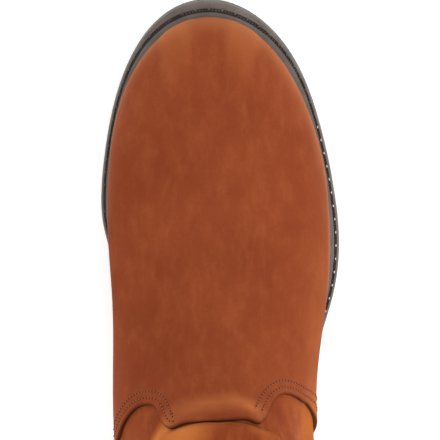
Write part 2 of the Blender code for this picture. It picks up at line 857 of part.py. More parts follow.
def make_pull_strap(name, side, look):
    """A webbing loop over the collar: down the outside, up over the edge and down inside."""
    half = STRAP_THICKNESS / 2
    over = BINDING_THICKNESS + 2 * GAP
    out = 2 * GAP + half
    inn = -WALL - 2 * GAP - half
    wide = STRAP_LOOP_WIDTH / 2
    mid = (out + inn) / 2
    loop = [(-STRAP_RISE * rise, wide * share + half * thick) for _, rise, share, thick in STRAP_LOOP]
    path = [
        (STRAP_OUTER_DROP, out),
        (BINDING_DEPTH + STRAP_EASE, out),
        (BINDING_DEPTH + SEAT_GAP, out + over),
        (0.0, out + over + SEAT_GAP),
        *((drop, mid + offset) for drop, offset in loop),
        (-STRAP_RISE, mid),
        *((drop, mid - offset) for drop, offset in reversed(loop)),
        (0.0, inn - over - SEAT_GAP),
        (BINDING_DEPTH + SEAT_GAP, inn - over),
        (BINDING_DEPTH + STRAP_EASE, inn),
        (STRAP_INNER_DROP, inn),
    ]

    def mesh(work):
        normals = []
        for i in range(len(path)):
            before, after = path[max(i - 1, 0)], path[min(i + 1, len(path) - 1)]
            run = np.array((after[0] - before[0], after[1] - before[1]))
            run /= np.linalg.norm(run)
            normals.append((run[1], -run[0]))
        turn = 0.001
        wide_turn = np.linalg.norm(form(0.5 + turn, LAST_RING) - form(0.5, LAST_RING)) / turn
        loops = []
        for i in range(STRAP_STEPS + 1):
            spot = 0.5 + (i / STRAP_STEPS - 0.5) * STRAP_WIDTH / wide_turn
            around = spot if side > 0 else 2 - spot
            faces = []
            for sign in (1, -1):
                faces.append(
                    [
                        shaft_point(around, d + sign * half * nd, o + sign * half * no)
                        for (d, o), (nd, no) in zip(path, normals)
                    ]
                )
            loops.append(faces[0] + faces[1][::-1])
        band(work, loops, closed=False)

    return add_object(name, mesh, look)


def main():
    for thing in list(bpy.data.objects):
        bpy.data.objects.remove(thing)
    make_outsole(RUBBER)
    make_heel(RUBBER)
    make_welt(WELT_RUBBER)
    make_upper(SHAFT_LEATHER)
    make_overlays(LEATHER)
    make_insole(LINING)
    make_binding(LEATHER)
    for side_name, side in (("medial", 1), ("lateral", -1)):
        make_side_seam("side_seam_" + side_name, side, LEATHER)
        make_pull_strap("pull_strap_" + side_name, side, LEATHER)


main()
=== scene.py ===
"""Visual model of a pull-on western work boot for the right foot, on a plain floor.

The boot's own terms are used throughout: along (from the back of the sole to the toe tip),
across (from the centre line, medial side positive) and up (from the floor), in metres.
"""

import math

import bmesh
import bpy
import numpy as np
from mathutils import Color, Matrix, Vector

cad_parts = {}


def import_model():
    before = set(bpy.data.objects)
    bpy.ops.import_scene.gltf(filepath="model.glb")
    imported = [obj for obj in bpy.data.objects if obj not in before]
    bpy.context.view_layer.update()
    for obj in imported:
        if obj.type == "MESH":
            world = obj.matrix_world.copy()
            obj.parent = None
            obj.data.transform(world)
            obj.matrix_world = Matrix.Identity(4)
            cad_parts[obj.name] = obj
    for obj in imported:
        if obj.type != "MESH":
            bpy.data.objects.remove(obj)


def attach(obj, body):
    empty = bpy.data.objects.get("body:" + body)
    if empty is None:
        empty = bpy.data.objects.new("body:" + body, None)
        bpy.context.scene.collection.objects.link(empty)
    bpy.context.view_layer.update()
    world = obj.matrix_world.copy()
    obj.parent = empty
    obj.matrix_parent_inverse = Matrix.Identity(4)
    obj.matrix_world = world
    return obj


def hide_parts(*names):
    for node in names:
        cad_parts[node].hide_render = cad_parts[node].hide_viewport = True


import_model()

bl_info = {
    "name": "Western work boot",
    "version": (1, 0, 0),
    "blender": (4, 5, 0),
    "location": "View3D > Sidebar > Boot",
    "description": "Builds a pull-on western work boot piece by piece",
    "category": "Object",
}

# Sizes of the boot's form, the same as the solids have
SOLE_LENGTH = 0.306
BALL_WIDTH = 0.1115
HEEL_HEIGHT = 0.028
HEEL_LENGTH = SOLE_LENGTH / 4
HEEL_TAPER = 0.003
TOE_SPRING = 0.0105
SOLE_THICKNESS = 0.0075
LUG_DEPTH = 0.0045
TOE_OVERHANG = 0.0096
HEEL_OVERHANG = 0.0029
SIDE_OVERHANG = 0.00725
UPPER_LENGTH = SOLE_LENGTH - TOE_OVERHANG - HEEL_OVERHANG
FOOT_WIDTH = BALL_WIDTH - 2 * SIDE_OVERHANG
INSTEP_HEIGHT = 0.112
SHAFT_HEIGHT = 0.290
SHAFT_DEPTH = 0.131
SHAFT_WIDTH = 0.094
SCALLOP = 0.018
SHAFT_SHIFT = -0.0033
WALL = 0.0022
OVERLAY_THICKNESS = 0.0018
GAP = 0.0003
SEAT_GAP = 0.0006
STRAP_WIDTH = 0.026
STRAP_OUTER_DROP = 0.056
STRAP_INNER_DROP = 0.046
STRAP_RISE = 0.023
STRAP_LOOP_WIDTH = 0.0125
WELT_FLANGE_SIDE = 0.0017
WELT_FLANGE_TOE = 0.0037
WELT_GROOVE_SIDE = 0.0013
WELT_GROOVE_TOE = 0.0017
# Which faces of the welt's section, counted from its foot at the vamp, lie in the groove and take
# its painted shade
WELT_GROOVE_FACES = (6, 7)
LUG_FIRST = 0.152
LUG_PITCH = 0.0165
LUG_GROOVE = 0.0046
LUG_TOE_MARGIN = 0.005
LUG_ROWS = int((SOLE_LENGTH - LUG_TOE_MARGIN - LUG_FIRST) / LUG_PITCH)
LUG_SINK = 0.002
# Each row's lugs reach across from and to these shares of half the sole, on both sides
OUTER_LUG = (0.56, 0.965)
INNER_LUG = (0.06, 0.46)
INNER_LUG_SHIFT = LUG_PITCH * 0.3
HEEL_BARS = 4
HEEL_GROOVE = 0.0046
HEEL_INSET = 0.0012
HEEL_HOLLOW = 0.004
HEEL_LAYERS = (0.36, 0.58, 0.80)
SEAT_THINNING = 0.8
SIDE_GROOVE = 0.0010
SIDE_GROOVE_EDGE = 0.0008
HEEL_RISE = 0.84
TOE_RISE = 0.93
THROAT_FALL = 0.1
PIPING = 0.0016

# The sole's plan. station: share of the length from the toe tip; half: share of half the ball
# width; centre: the middle's shift to the medial side, as a share of half the ball width.
SOLE_PLAN = (
    ("toe tip", 0.000, 0.935, 0.042),
    ("toe", 0.080, 0.928, 0.010),
    ("toe joint", 0.186, 0.931, -0.013),
    ("little toe", 0.248, 0.956, -0.028),
    ("ball", 0.340, 1.000, -0.062),
    ("behind ball", 0.401, 0.965, -0.105),
    ("fore waist", 0.462, 0.900, -0.118),
    ("waist", 0.520, 0.808, -0.112),
    ("shank", 0.600, 0.715, -0.095),
    ("narrow waist", 0.690, 0.655, -0.055),
    ("heel breast", 0.770, 0.665, -0.025),
    ("heel", 0.870, 0.700, 0.000),
    ("heel back", 1.000, 0.700, 0.000),
)
TOE_ROUND = 0.278
HEEL_ROUND = 0.135

# The seat on which the upper stands. station: share of the length from the back of the heel;
# rise: share of the seat's rise from the forefoot to the heel.
SEAT_RISE = (
    ("heel back", 0.00, 1.000),
    ("heel seat", 0.16, 1.000),
    ("heel breast", 0.25, 1.000),
    ("behind breast", 0.29, 0.955),
    ("shank", 0.34, 0.825),
    ("arch", 0.42, 0.500),
    ("fore arch", 0.49, 0.205),
    ("tread start", 0.56, 0.030),
    ("tread", 0.62, 0.000),
    ("tread end", 0.78, 0.000),
)
SPRING_START = 0.76
SPRING_POWER = 1.9

# The upper at its fullest, over its narrower foot on the sole. station: share of the upper's
# length from its heel; full: share of half the foot width; centre: as above, of that half.
FOOT_PLAN = (
    ("heel", 0.00, 0.790, 0.000),
    ("ankle", 0.20, 0.800, -0.010),
    ("shank", 0.33, 0.835, -0.045),
    ("instep", 0.42, 0.880, -0.065),
    ("waist", 0.50, 0.916, -0.100),
    ("behind ball", 0.58, 0.956, -0.128),
    ("ball", 0.68, 0.990, -0.108),
    ("toe joint", 0.80, 0.975, -0.056),
    ("toe", 0.92, 0.968, -0.005),
    ("toe tip", 1.00, 0.980, 0.010),
)
FEATHER_INSET = 0.0078
FULL_HEIGHT = 0.026
RIDGE_SHIFT = 0.0035

# The rings of the upper, from the sole to the collar. back and front are a ring's ends:
# along, as a share of the upper's length (foot) or of the shaft's depth (shaft), and up, as
# a share of the instep's height above the seat (foot) or of the shaft's height (shaft).
# back_round and front_round: how far the ends' rounding reaches, as a share of the length.
FOOT_RINGS = (
    ("feather", 0.0185, 0.000, 0.9930, 0.000, 0.120, 0.256),
    ("welt", 0.0140, 0.082, 0.9990, 0.070, 0.120, 0.256),
    ("toe wall", 0.0070, 0.155, 1.0000, 0.155, 0.122, 0.255),
    ("toe shoulder", 0.0025, 0.225, 0.9880, 0.248, 0.124, 0.255),
    ("toe crown", 0.0005, 0.287, 0.9600, 0.330, 0.126, 0.275),
    ("toe cap", 0.0010, 0.345, 0.9150, 0.397, 0.128, 0.303),
    ("toe joint", 0.0030, 0.402, 0.8480, 0.455, 0.132, 0.335),
    ("ball", 0.0075, 0.470, 0.7570, 0.521, 0.136, 0.345),
    ("waist", 0.0125, 0.540, 0.6640, 0.598, 0.140, 0.330),
    ("instep", 0.0185, 0.615, 0.5780, 0.693, 0.144, 0.290),
    ("high instep", 0.0240, 0.692, 0.5010, 0.803, 0.148, 0.245),
    ("throat", 0.0275, 0.770, 0.4420, 0.917, 0.156, 0.208),
)
# The shaft's rings have the same columns, and last the half width as a share of half the
# shaft's width. Their rounding is a share of the shaft's depth.
SHAFT_RINGS = (
    ("ankle", 0.064, 0.405, 0.898, 0.423, 0.400, 0.425, 0.842),
    ("above ankle", 0.062, 0.452, 0.873, 0.470, 0.420, 0.420, 0.836),
    ("low shaft", 0.054, 0.515, 0.880, 0.533, 0.440, 0.440, 0.862),
    ("mid shaft", 0.034, 0.655, 0.915, 0.660, 0.470, 0.470, 0.916),
    ("high shaft", 0.014, 0.810, 0.960, 0.810, 0.490, 0.490, 0.965),
    ("collar", 0.000, 1.000, 1.000, 1.000, 0.500, 0.500, 1.000),
)

# The top edge of the vamp and counter. place: 0 at the back of the heel, 1 at the front;
# ring: the height on the upper, counted in rings.
BACK_EDGE = (
    ("heel back", 0.000, 10.30),
    ("counter", 0.160, 9.60),
    ("counter side", 0.270, 7.60),
    ("side seam", 0.380, 5.40),
)
MEDIAL_EDGE = BACK_EDGE + (
    ("side", 0.490, 7.10),
    ("leg", 0.560, 8.45),
    ("notch corner", 0.605, 8.84),
    ("notch outside", 0.650, 9.14),
    ("notch", 0.695, 9.42),
    ("notch top", 0.730, 9.66),
    ("notch inside", 0.762, 9.90),
    ("tongue foot", 0.785, 10.16),
    ("tongue side", 0.800, 10.48),
    ("tongue corner", 0.820, 10.78),
    ("tongue top", 0.870, 10.97),
    ("beside the front", 0.950, 11.14),
    ("front", 1.000, 11.15),
)
LATERAL_EDGE = BACK_EDGE + (
    ("side", 0.490, 6.85),
    ("leg", 0.570, 7.72),
    ("notch corner", 0.622, 8.42),
    ("notch outside", 0.672, 8.95),
    ("notch", 0.718, 9.34),
    ("notch top", 0.752, 9.60),
    ("notch inside", 0.785, 9.90),
    ("tongue foot", 0.808, 10.18),
    ("tongue side", 0.826, 10.46),
    ("tongue corner", 0.848, 10.80),
    ("tongue top", 0.890, 10.95),
    ("beside the front", 0.950, 11.08),
    ("front", 1.000, 11.15),
)
SEAM_PLACE = 0.380
SEAM_GAP = 0.0016
# The piped side seam. ring: its height, counted in rings; place: as above.
SEAM_LINE = (
    ("foot", 5.40, 0.380),
    ("low ankle", 8.0, 0.405),
    ("ankle", 10.0, 0.452),
    ("above ankle", 12.0, 0.486),
    ("shaft", 14.0, 0.497),
    ("collar", 17.0, 0.500),
)

# The camera: degrees above the floor, degrees wide, distance, and what it looks at, as a
# distance from the toe tip and a height
CAMERA_LIFT = 80.0
CAMERA_ANGLE = 13.12
CAMERA_DISTANCE = 0.9
CAMERA_AIM = (0.1035, 0.018)

LAST_RING = len(FOOT_RINGS) + len(SHAFT_RINGS) - 1
UPPER_BACK = HEEL_OVERHANG
HALF_SOLE = BALL_WIDTH / 2
HALF_FOOT = FOOT_WIDTH / 2
TREAD_SEAT = LUG_DEPTH + SOLE_THICKNESS
HEEL_SEAT = HEEL_HEIGHT + GAP + SEAT_THINNING * SOLE_THICKNESS
CENTRE_SHIFT = 0.0033
RING_INDEX = {row[0]: i for i, row in enumerate(FOOT_RINGS + SHAFT_RINGS)}


def spline(knots, values):
    """A natural cubic through the values, for single numbers and arrays."""
    x = np.array(knots, float)
    y = np.array(values, float)
    n = len(x)
    step = np.diff(x)
    system = np.eye(n)
    right = np.zeros(n)
    for i in range(1, n - 1):
        system[i, i - 1] = step[i - 1]
        system[i, i] = 2 * (step[i - 1] + step[i])
        system[i, i + 1] = step[i]
        right[i] = 6 * ((y[i + 1] - y[i]) / step[i] - (y[i] - y[i - 1]) / step[i - 1])
    bend = np.linalg.solve(system, right)

    def value(at):
        at = np.clip(at, x[0], x[-1])
        i = np.clip(np.searchsorted(x, at) - 1, 0, n - 2)
        before, after, h = x[i + 1] - at, at - x[i], step[i]
        return (
            (bend[i] * before**3 + bend[i + 1] * after**3) / (6 * h)
            + (y[i] / h - bend[i] * h / 6) * before
            + (y[i + 1] / h - bend[i + 1] * h / 6) * after
        )

    return value


def column(table, at, value):
    return spline([row[at] for row in table], [row[value] for row in table])


def ease(share):
    share = np.clip(share, 0.0, 1.0)
    return share * share * (3 - 2 * share)


def rounding(distance, reach):
    """The share of its width that a round end has reached, at a distance from its tip."""
    short = 1 - np.clip(distance / reach, 0.0, 1.0)
    return np.sqrt(np.maximum(0.0, 1 - short**2))


def share_along(place):
    """The share of the length reached at a place round the outline."""
    return (1 - np.cos(np.pi * place)) / 2


def place_along(share):
    """The place round the outline at a share of its length."""
    return np.arccos(np.clip(1 - 2 * share, -1, 1)) / np.pi


def at_place(around):
    """Place from heel to toe, and side, of a position round the boot from 0 to 2."""
    around = np.mod(around, 2)
    return np.where(around <= 1, around, 2 - around), np.where(around <= 1, 1.0, -1.0)


def on_side(place, side):
    return place if side > 0 else 2 - place


def paired(around, ring):
    return np.broadcast_arrays(np.asarray(around, float), np.asarray(ring, float))


sole_half = column(SOLE_PLAN, 1, 2)
sole_centre = column(SOLE_PLAN, 1, 3)
seat_rise = column(SEAT_RISE, 1, 2)
full_half = column(FOOT_PLAN, 1, 2)
foot_centre = column(FOOT_PLAN, 1, 3)
medial_edge = column(MEDIAL_EDGE, 1, 2)
lateral_edge = column(LATERAL_EDGE, 1, 2)
seam_line = column(SEAM_LINE, 1, 2)


def edge_line(around):
    place, side = at_place(around)
    return np.where(side > 0, medial_edge(place), lateral_edge(place))


def toe_lift(along):
    share = (along / SOLE_LENGTH - SPRING_START) / (1 - SPRING_START)
    return TOE_SPRING * np.maximum(0.0, share) ** SPRING_POWER


def seat(along):
    rise = np.clip(seat_rise(along / SOLE_LENGTH), 0.0, 1.0)
    return TREAD_SEAT + (HEEL_SEAT - TREAD_SEAT) * rise + toe_lift(along)


def sole_point(around, inset=0.0):
    """Along and across of the sole's outline, drawn in by an inset."""
    place, side = at_place(around)
    along = inset + (SOLE_LENGTH - 2 * inset) * share_along(place)
    from_toe = 1 - along / SOLE_LENGTH
    half = HALF_SOLE * sole_half(from_toe) - inset
    half = half * rounding(SOLE_LENGTH - inset - along, TOE_ROUND * SOLE_LENGTH)
    half = half * rounding(along - inset, HEEL_ROUND * SOLE_LENGTH)
    return along, HALF_SOLE * sole_centre(from_toe) + side * half


def ring_ends():
    """Each ring's ends, the reach of their rounding and its half width, in metres."""
    rows = []
    for _, back, back_up, front, front_up, back_round, front_round in FOOT_RINGS:
        back, front = UPPER_BACK + UPPER_LENGTH * back, UPPER_BACK + UPPER_LENGTH * front
        back_up = INSTEP_HEIGHT * back_up * HEEL_RISE
        front_up = INSTEP_HEIGHT * front_up * (TOE_RISE - THROAT_FALL * front_up)
        row = [back, seat(back) + SEAT_GAP + back_up, front, seat(front) + SEAT_GAP + front_up]
        rounds = [back_round * UPPER_LENGTH, front_round * UPPER_LENGTH]
        rows.append(row + rounds + [SHAFT_WIDTH / 2 * SHAFT_RINGS[0][7]])
    for _, back, back_up, front, front_up, back_round, front_round, half in SHAFT_RINGS:
        row = [UPPER_BACK + SHAFT_DEPTH * back, SHAFT_HEIGHT * back_up]
        row += [UPPER_BACK + SHAFT_DEPTH * front, SHAFT_HEIGHT * front_up]
        rounds = [back_round * SHAFT_DEPTH, front_round * SHAFT_DEPTH]
        rows.append(row + rounds + [SHAFT_WIDTH / 2 * half])
    return rows


RING_ROWS = ring_ends()
RING_COLUMNS = [spline(range(len(RING_ROWS)), [row[i] for row in RING_ROWS]) for i in range(7)]


def form(around, ring):
    """Points of the upper's outer face before its folds: along, across, up."""
    around, ring = paired(around, ring)
    place, side = at_place(around)
    back, back_up, front, front_up, back_round, front_round, shaft_half = (
        value(ring) for value in RING_COLUMNS
    )
    share = share_along(place)
    along = back + (front - back) * share
    up = back_up + (front_up - back_up) * share
    straight = seat(back) + (seat(front) - seat(back)) * share
    up = up + (seat(along) - straight) * (1 - ease(ring / RING_INDEX["waist"]))
    topline = ease((ring - RING_INDEX["mid shaft"]) / (LAST_RING - RING_INDEX["mid shaft"]))
    up = up + SCALLOP * topline * np.sin(np.pi * share) ** 2

    station = (along - UPPER_BACK) / UPPER_LENGTH
    height = up - seat(along)
    fullness = ease(height / FULL_HEIGHT)
    from_toe = 1 - along / SOLE_LENGTH
    foot_half = HALF_SOLE * sole_half(from_toe) - FEATHER_INSET
    foot_half = foot_half + (HALF_FOOT * full_half(station) - foot_half) * fullness
    into_shaft = ease((ring - RING_INDEX["waist"]) / (RING_INDEX["ankle"] - RING_INDEX["waist"]))
    half = foot_half + (shaft_half - foot_half) * into_shaft
    half = half * rounding(front - along, front_round) * rounding(along - back, back_round)
    centre = HALF_SOLE * sole_centre(from_toe)
    centre = centre + (HALF_FOOT * foot_centre(station) - centre) * fullness
    centre = centre + RIDGE_SHIFT * ease(height / INSTEP_HEIGHT * 2)
    centre = centre + (SHAFT_SHIFT - centre) * into_shaft
    return np.stack((along, centre + side * half, up), -1)


def unit(vectors):
    return vectors / np.maximum(np.linalg.norm(vectors, axis=-1, keepdims=True), 1e-12)


def outward(around, ring, step=0.002):
    """The way that the upper faces."""
    low, high = np.maximum(ring - step, 0.0), np.minimum(ring + step, float(LAST_RING))
    climb = form(around, high) - form(around, low)
    turn = form(around + step, ring) - form(around - step, ring)
    return unit(np.cross(climb, turn))


# Folds of the leather: name, side (1 medial, -1 lateral, 0 both), first place
# and ring, last place and ring, height in metres, reach in rings, and bow of its middle in rings.
FOLDS = (
    ("throat ridge", 0, 0.840, 10.55, 1.000, 10.76, 0.0009, 0.17, 0.00),
    ("throat trough", 0, 0.800, 10.88, 1.000, 11.14, -0.0010, 0.10, 0.03),
    ("shaft roll", 0, 0.780, 11.08, 1.000, 11.42, 0.0060, 0.23, 0.05),
    ("roll's back", 0, 0.700, 11.78, 1.000, 11.86, 0.0032, 0.38, 0.00),
    ("upper trough", 0, 0.560, 12.95, 1.000, 12.75, -0.0018, 0.35, 0.00),
    ("second roll", 0, 0.520, 13.50, 1.000, 13.40, 0.0016, 0.40, 0.00),
    ("lateral fold", -1, 0.840, 11.05, 0.640, 12.00, 0.0016, 0.14, 0.10),
    ("lateral furrow", -1, 0.820, 10.95, 0.600, 11.65, -0.0018, 0.11, 0.10),
    ("second lateral furrow", -1, 0.900, 11.55, 0.700, 12.30, -0.0011, 0.10, 0.10),
    ("lateral pull", -1, 0.790, 10.65, 0.590, 10.80, 0.0010, 0.20, 0.08),
    ("medial fold", 1, 0.900, 11.70, 0.680, 12.30, -0.0012, 0.12, 0.06),
    ("medial furrow", 1, 0.790, 10.75, 0.640, 10.60, -0.0011, 0.20, 0.00),
    ("side slouch", 1, 0.420, 11.60, 0.660, 12.30, -0.0013, 0.30, 0.08),
    ("side slouch", -1, 0.400, 11.50, 0.620, 12.20, -0.0013, 0.30, 0.06),
    ("heel slouch", 0, 0.000, 11.35, 0.260, 11.75, -0.0010, 0.30, 0.00),
    ("lateral bulge", -1, 0.500, 10.80, 0.700, 10.95, 0.0048, 0.75, 0.00),
    ("medial bulge", 1, 0.500, 10.90, 0.680, 10.95, 0.0014, 0.75, 0.00),
    ("lateral waist", -1, 0.300, 8.80, 0.530, 7.70, 0.0055, 1.00, 0.00),
    ("toe shoulder", 0, 0.900, 3.20, 0.960, 3.20, 0.0010, 1.40, 0.00),
    ("flex", 1, 0.780, 8.30, 0.900, 8.05, -0.00026, 0.07, 0.04),
    ("flex", 1, 0.800, 8.62, 0.880, 8.42, -0.00022, 0.06, 0.02),
    ("flex", 1, 0.760, 7.95, 0.860, 7.62, -0.00022, 0.07, 0.03),
    ("flex", -1, 0.850, 8.40, 0.940, 8.32, -0.00024, 0.06, 0.02),
    ("flex", -1, 0.830, 8.75, 0.920, 8.66, -0.00022, 0.06, 0.02),
    ("flex", -1, 0.700, 8.10, 0.800, 8.45, -0.00020, 0.07, 0.02),
    ("flex", 0, 0.880, 9.35, 1.000, 9.30, -0.00024, 0.08, 0.00),
    ("flex", 0, 0.860, 9.85, 1.000, 9.78, -0.00030, 0.09, 0.02),
)
# Patches of painted light on the leather, where the rolls, notches, tongue and sides face towards
# the light or away from it: name, side, place, ring, their reaches, and amount, a painted highlight
# above 0 and painted shade below 0.
LIGHT_PATCHES = (
    ("medial roll", 1, 0.870, 11.50, 0.090, 0.38, 0.85),
    ("medial side of the roll", 1, 0.765, 10.85, 0.060, 0.30, 1.90),
    ("middle of the roll", -1, 0.960, 11.60, 0.090, 0.35, -0.35),
    ("lateral roll", -1, 0.740, 11.70, 0.060, 0.40, 0.35),
    ("medial tongue", 1, 0.930, 10.78, 0.080, 0.12, 0.45),
    ("lateral tongue", -1, 0.930, 10.64, 0.070, 0.12, 0.45),
    ("lateral tongue corner", -1, 0.885, 10.72, 0.022, 0.05, 1.00),
    ("medial notch", 1, 0.740, 10.30, 0.060, 0.30, -0.25),
    ("lateral notch", -1, 0.770, 10.10, 0.050, 0.25, -0.85),
    ("lateral side", -1, 0.640, 6.00, 0.090, 3.00, 0.30),
    ("lateral waist", -1, 0.560, 8.00, 0.060, 1.30, 0.45),
    ("medial waist", 1, 0.540, 8.00, 0.040, 1.30, 0.30),
    ("toe middle", 1, 1.000, 6.20, 0.200, 0.90, -0.20),
    ("medial ball", 1, 0.640, 5.60, 0.080, 1.20, -0.30),
)
# A painted highlight runs all round the wall of the vamp over the welt, where the light grazes it:
# ring, reach and amount
WALL_HIGHLIGHT = (2.3, 0.85, 0.75)
# How high a fold is when it takes the whole lighter colour on its ridge, as pulled leather and
# painted highlight, and the whole deep colour in its trough, as painted shade
VAMP_FOLD = 0.0024
SHAFT_FOLD = 0.0240


def painted_light(around, ring):
    """How far painted highlights lighten the leather (above 0) and painted shade darkens it (below
    0), besides what its folds do.
    """
    around, ring = paired(around, ring)
    place, side = at_place(around)
    tone = np.zeros(place.shape)
    for _, on, middle, height, wide, high, amount in LIGHT_PATCHES:
        # A patch near the front runs on over the middle to the other side
        apart = np.where(side == on, place - middle, 2 - place - middle)
        tone = tone + amount * np.exp(-((apart / wide) ** 2) - ((ring - height) / high) ** 2)
    height, high, amount = WALL_HIGHLIGHT
    return tone + amount * np.exp(-(((ring - height) / high) ** 2))


def folds(around, ring):
    """How far the folds lift the leather off its form, in metres."""
    around, ring = paired(around, ring)
    place, side = at_place(around)
    lift = np.zeros(place.shape)
    for _, on, first_place, first_ring, last_place, last_ring, height, reach, bow in FOLDS:
        run = (place - first_place) / (last_place - first_place)
        middle = first_ring + (last_ring - first_ring) * run + bow * 4 * run * (1 - run)
        ends = ease((run + 0.25) / 0.4)
        if last_place < 1.0:
            ends = ends * ease((1.25 - run) / 0.4)
        wave = np.exp(-(((ring - middle) / reach) ** 2))
        where = 1.0 if on == 0 else (side == on)
        lift = lift + height * wave * ends * where
    return lift


def skin(around, ring, offset=0.0):
    """Points off the leather's outer face, folds included."""
    around, ring = paired(around, ring)
    normal = outward(around, ring)
    level = (ring <= 0) | (ring >= LAST_RING)
    flat = normal * np.array((1.0, 1.0, 0.0))
    normal = np.where(level[..., None], unit(flat), normal)
    lift = offset + folds(around, ring)
    points = form(around, ring) + normal * np.asarray(lift)[..., None]
    points[..., 2] = np.where(ring <= 0, seat(points[..., 0]) + SEAT_GAP, points[..., 2])
    return points


def world(points):
    """Along, across and up, as places in the model."""
    points = np.asarray(points, float)
    return np.stack(
        (points[..., 1] + CENTRE_SHIFT, SOLE_LENGTH / 2 - points[..., 0], points[..., 2]), -1
    )


def make_piece(name, points, faces, materials, slot, nodes=(), values=None, indices=None, hard=40):
    """A finished closed piece from points in boot terms, with its faces outward."""
    mesh = bpy.data.meshes.new(name)
    mesh.from_pydata(world(points).tolist(), [], faces)
    for material in materials:
        mesh.materials.append(material)
    if indices is not None:
        mesh.polygons.foreach_set("material_index", indices)
    for key, numbers in (values or {}).items():
        layer = mesh.attributes.new(key, "FLOAT", "POINT")
        layer.data.foreach_set("value", np.asarray(numbers, np.float32).ravel())
    mesh.validate()
    mesh.shade_smooth()
    mesh.set_sharp_from_angle(angle=math.radians(hard))
    work = bmesh.new()
    work.from_mesh(mesh)
    bmesh.ops.recalc_face_normals(work, faces=work.faces)
    work.to_mesh(mesh)
    work.free()
    return declare(name, mesh, nodes)


def declare(name, mesh, nodes=()):
    """An object of a mesh, fixed to the boot, and standing for nodes if it does."""
    piece = bpy.data.objects.new(name, mesh)
    bpy.context.scene.collection.objects.link(piece)
    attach(piece, "root")
    if nodes:
        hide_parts(*nodes)
    return piece


def tube(loops, closed=True):
    """Points and faces of a wall through loops of points, each closed in itself."""
    count, size = loops.shape[:2]
    i = np.arange(count if closed else count - 1)[:, None]
    j = np.arange(size)[None, :]
    here, there = i * size, ((i + 1) % count) * size
    k = (j + 1) % size
    quads = np.stack((here + j, there + j, there + k, here + k), -1).reshape(-1, 4)
    return loops.reshape(-1, 3), quads.tolist()


def bar_caps(base, count):
    """Faces across an outline whose second half runs back along its first."""
    j = np.arange(count // 2 - 1)
    return (base + np.stack((j, j + 1, count - 2 - j, count - 1 - j), -1)).tolist()


def mirrored(outer, inner):
    return np.concatenate((outer, inner[:, ::-1]), 1)


def shell(outer, inner, closed=True):
    """A wall between two faces given as loops of points, with closed rims."""
    loops = mirrored(outer, inner)
    points, faces = tube(loops, closed)
    if not closed:
        count, size = loops.shape[:2]
        faces += bar_caps(0, size) + [quad[::-1] for quad in bar_caps((count - 1) * size, size)]
    return points, faces


# Materials

COLOUR_TYPES = (tuple, list, Color)


def new_group(name, inputs, outputs):
    """A shader group; a number, a vector or a colour as default makes the input's kind."""
    tree = bpy.data.node_groups.new(name, "ShaderNodeTree")
    for label, value in inputs.items():
        kind = {3: "Vector", 4: "Color"}[len(value)] if isinstance(value, tuple) else "Float"
        socket = tree.interface.new_socket(
            label, in_out="INPUT", socket_type="NodeSocket" + kind
        )
        socket.default_value = value
    for label in outputs:
        kind = "Color" if label == "Color" else "Float"
        tree.interface.new_socket(label, in_out="OUTPUT", socket_type="NodeSocket" + kind)
    return tree, tree.nodes.new("NodeGroupInput"), tree.nodes.new("NodeGroupOutput")


def plug(tree, socket, value):
    """Links a socket to another node's output, or sets it to a value."""
    if hasattr(value, "is_output"):
        tree.links.new(value, socket)
    else:
        socket.default_value = value


def math_node(tree, operation, a, b):
    node = tree.nodes.new("ShaderNodeMath")
    node.operation = operation
    plug(tree, node.inputs[0], a)
    plug(tree, node.inputs[1], b)
    return node.outputs[0]


def mix_node(tree, factor, a, b):
    node = tree.nodes.new("ShaderNodeMix")
    node.data_type = "RGBA"
    for i, value in ((0, factor), (6, a), (7, b)):
        plug(tree, node.inputs[i], value)
    return node.outputs[2]


def noise_node(tree, place, scale, detail=3.0, rough=0.55, stretch=None):
    if stretch:
        mapping = tree.nodes.new("ShaderNodeMapping")
        mapping.inputs["Scale"].default_value = stretch
        tree.links.new(place, mapping.inputs["Vector"])
        place = mapping.outputs[0]
    node = tree.nodes.new("ShaderNodeTexNoise")
    for key, value in (
        ("Vector", place),
        ("Scale", scale),
        ("Detail", detail),
        ("Roughness", rough),
    ):
        plug(tree, node.inputs[key], value)
    return node.outputs["Fac"]


def band_node(tree, value, low, high):
    node = tree.nodes.new("ShaderNodeMapRange")
    for key, entry in (("Value", value), ("From Min", low), ("From Max", high)):
        plug(tree, node.inputs[key], entry)
    return node.outputs["Result"]


def layer(tree, tone, over, value, low, high, amount):
    """Lays a colour over a tone where a value runs from low to high, by an amount."""
    share = math_node(tree, "MULTIPLY", band_node(tree, value, low, high), amount)
    return mix_node(tree, share, tone, over)


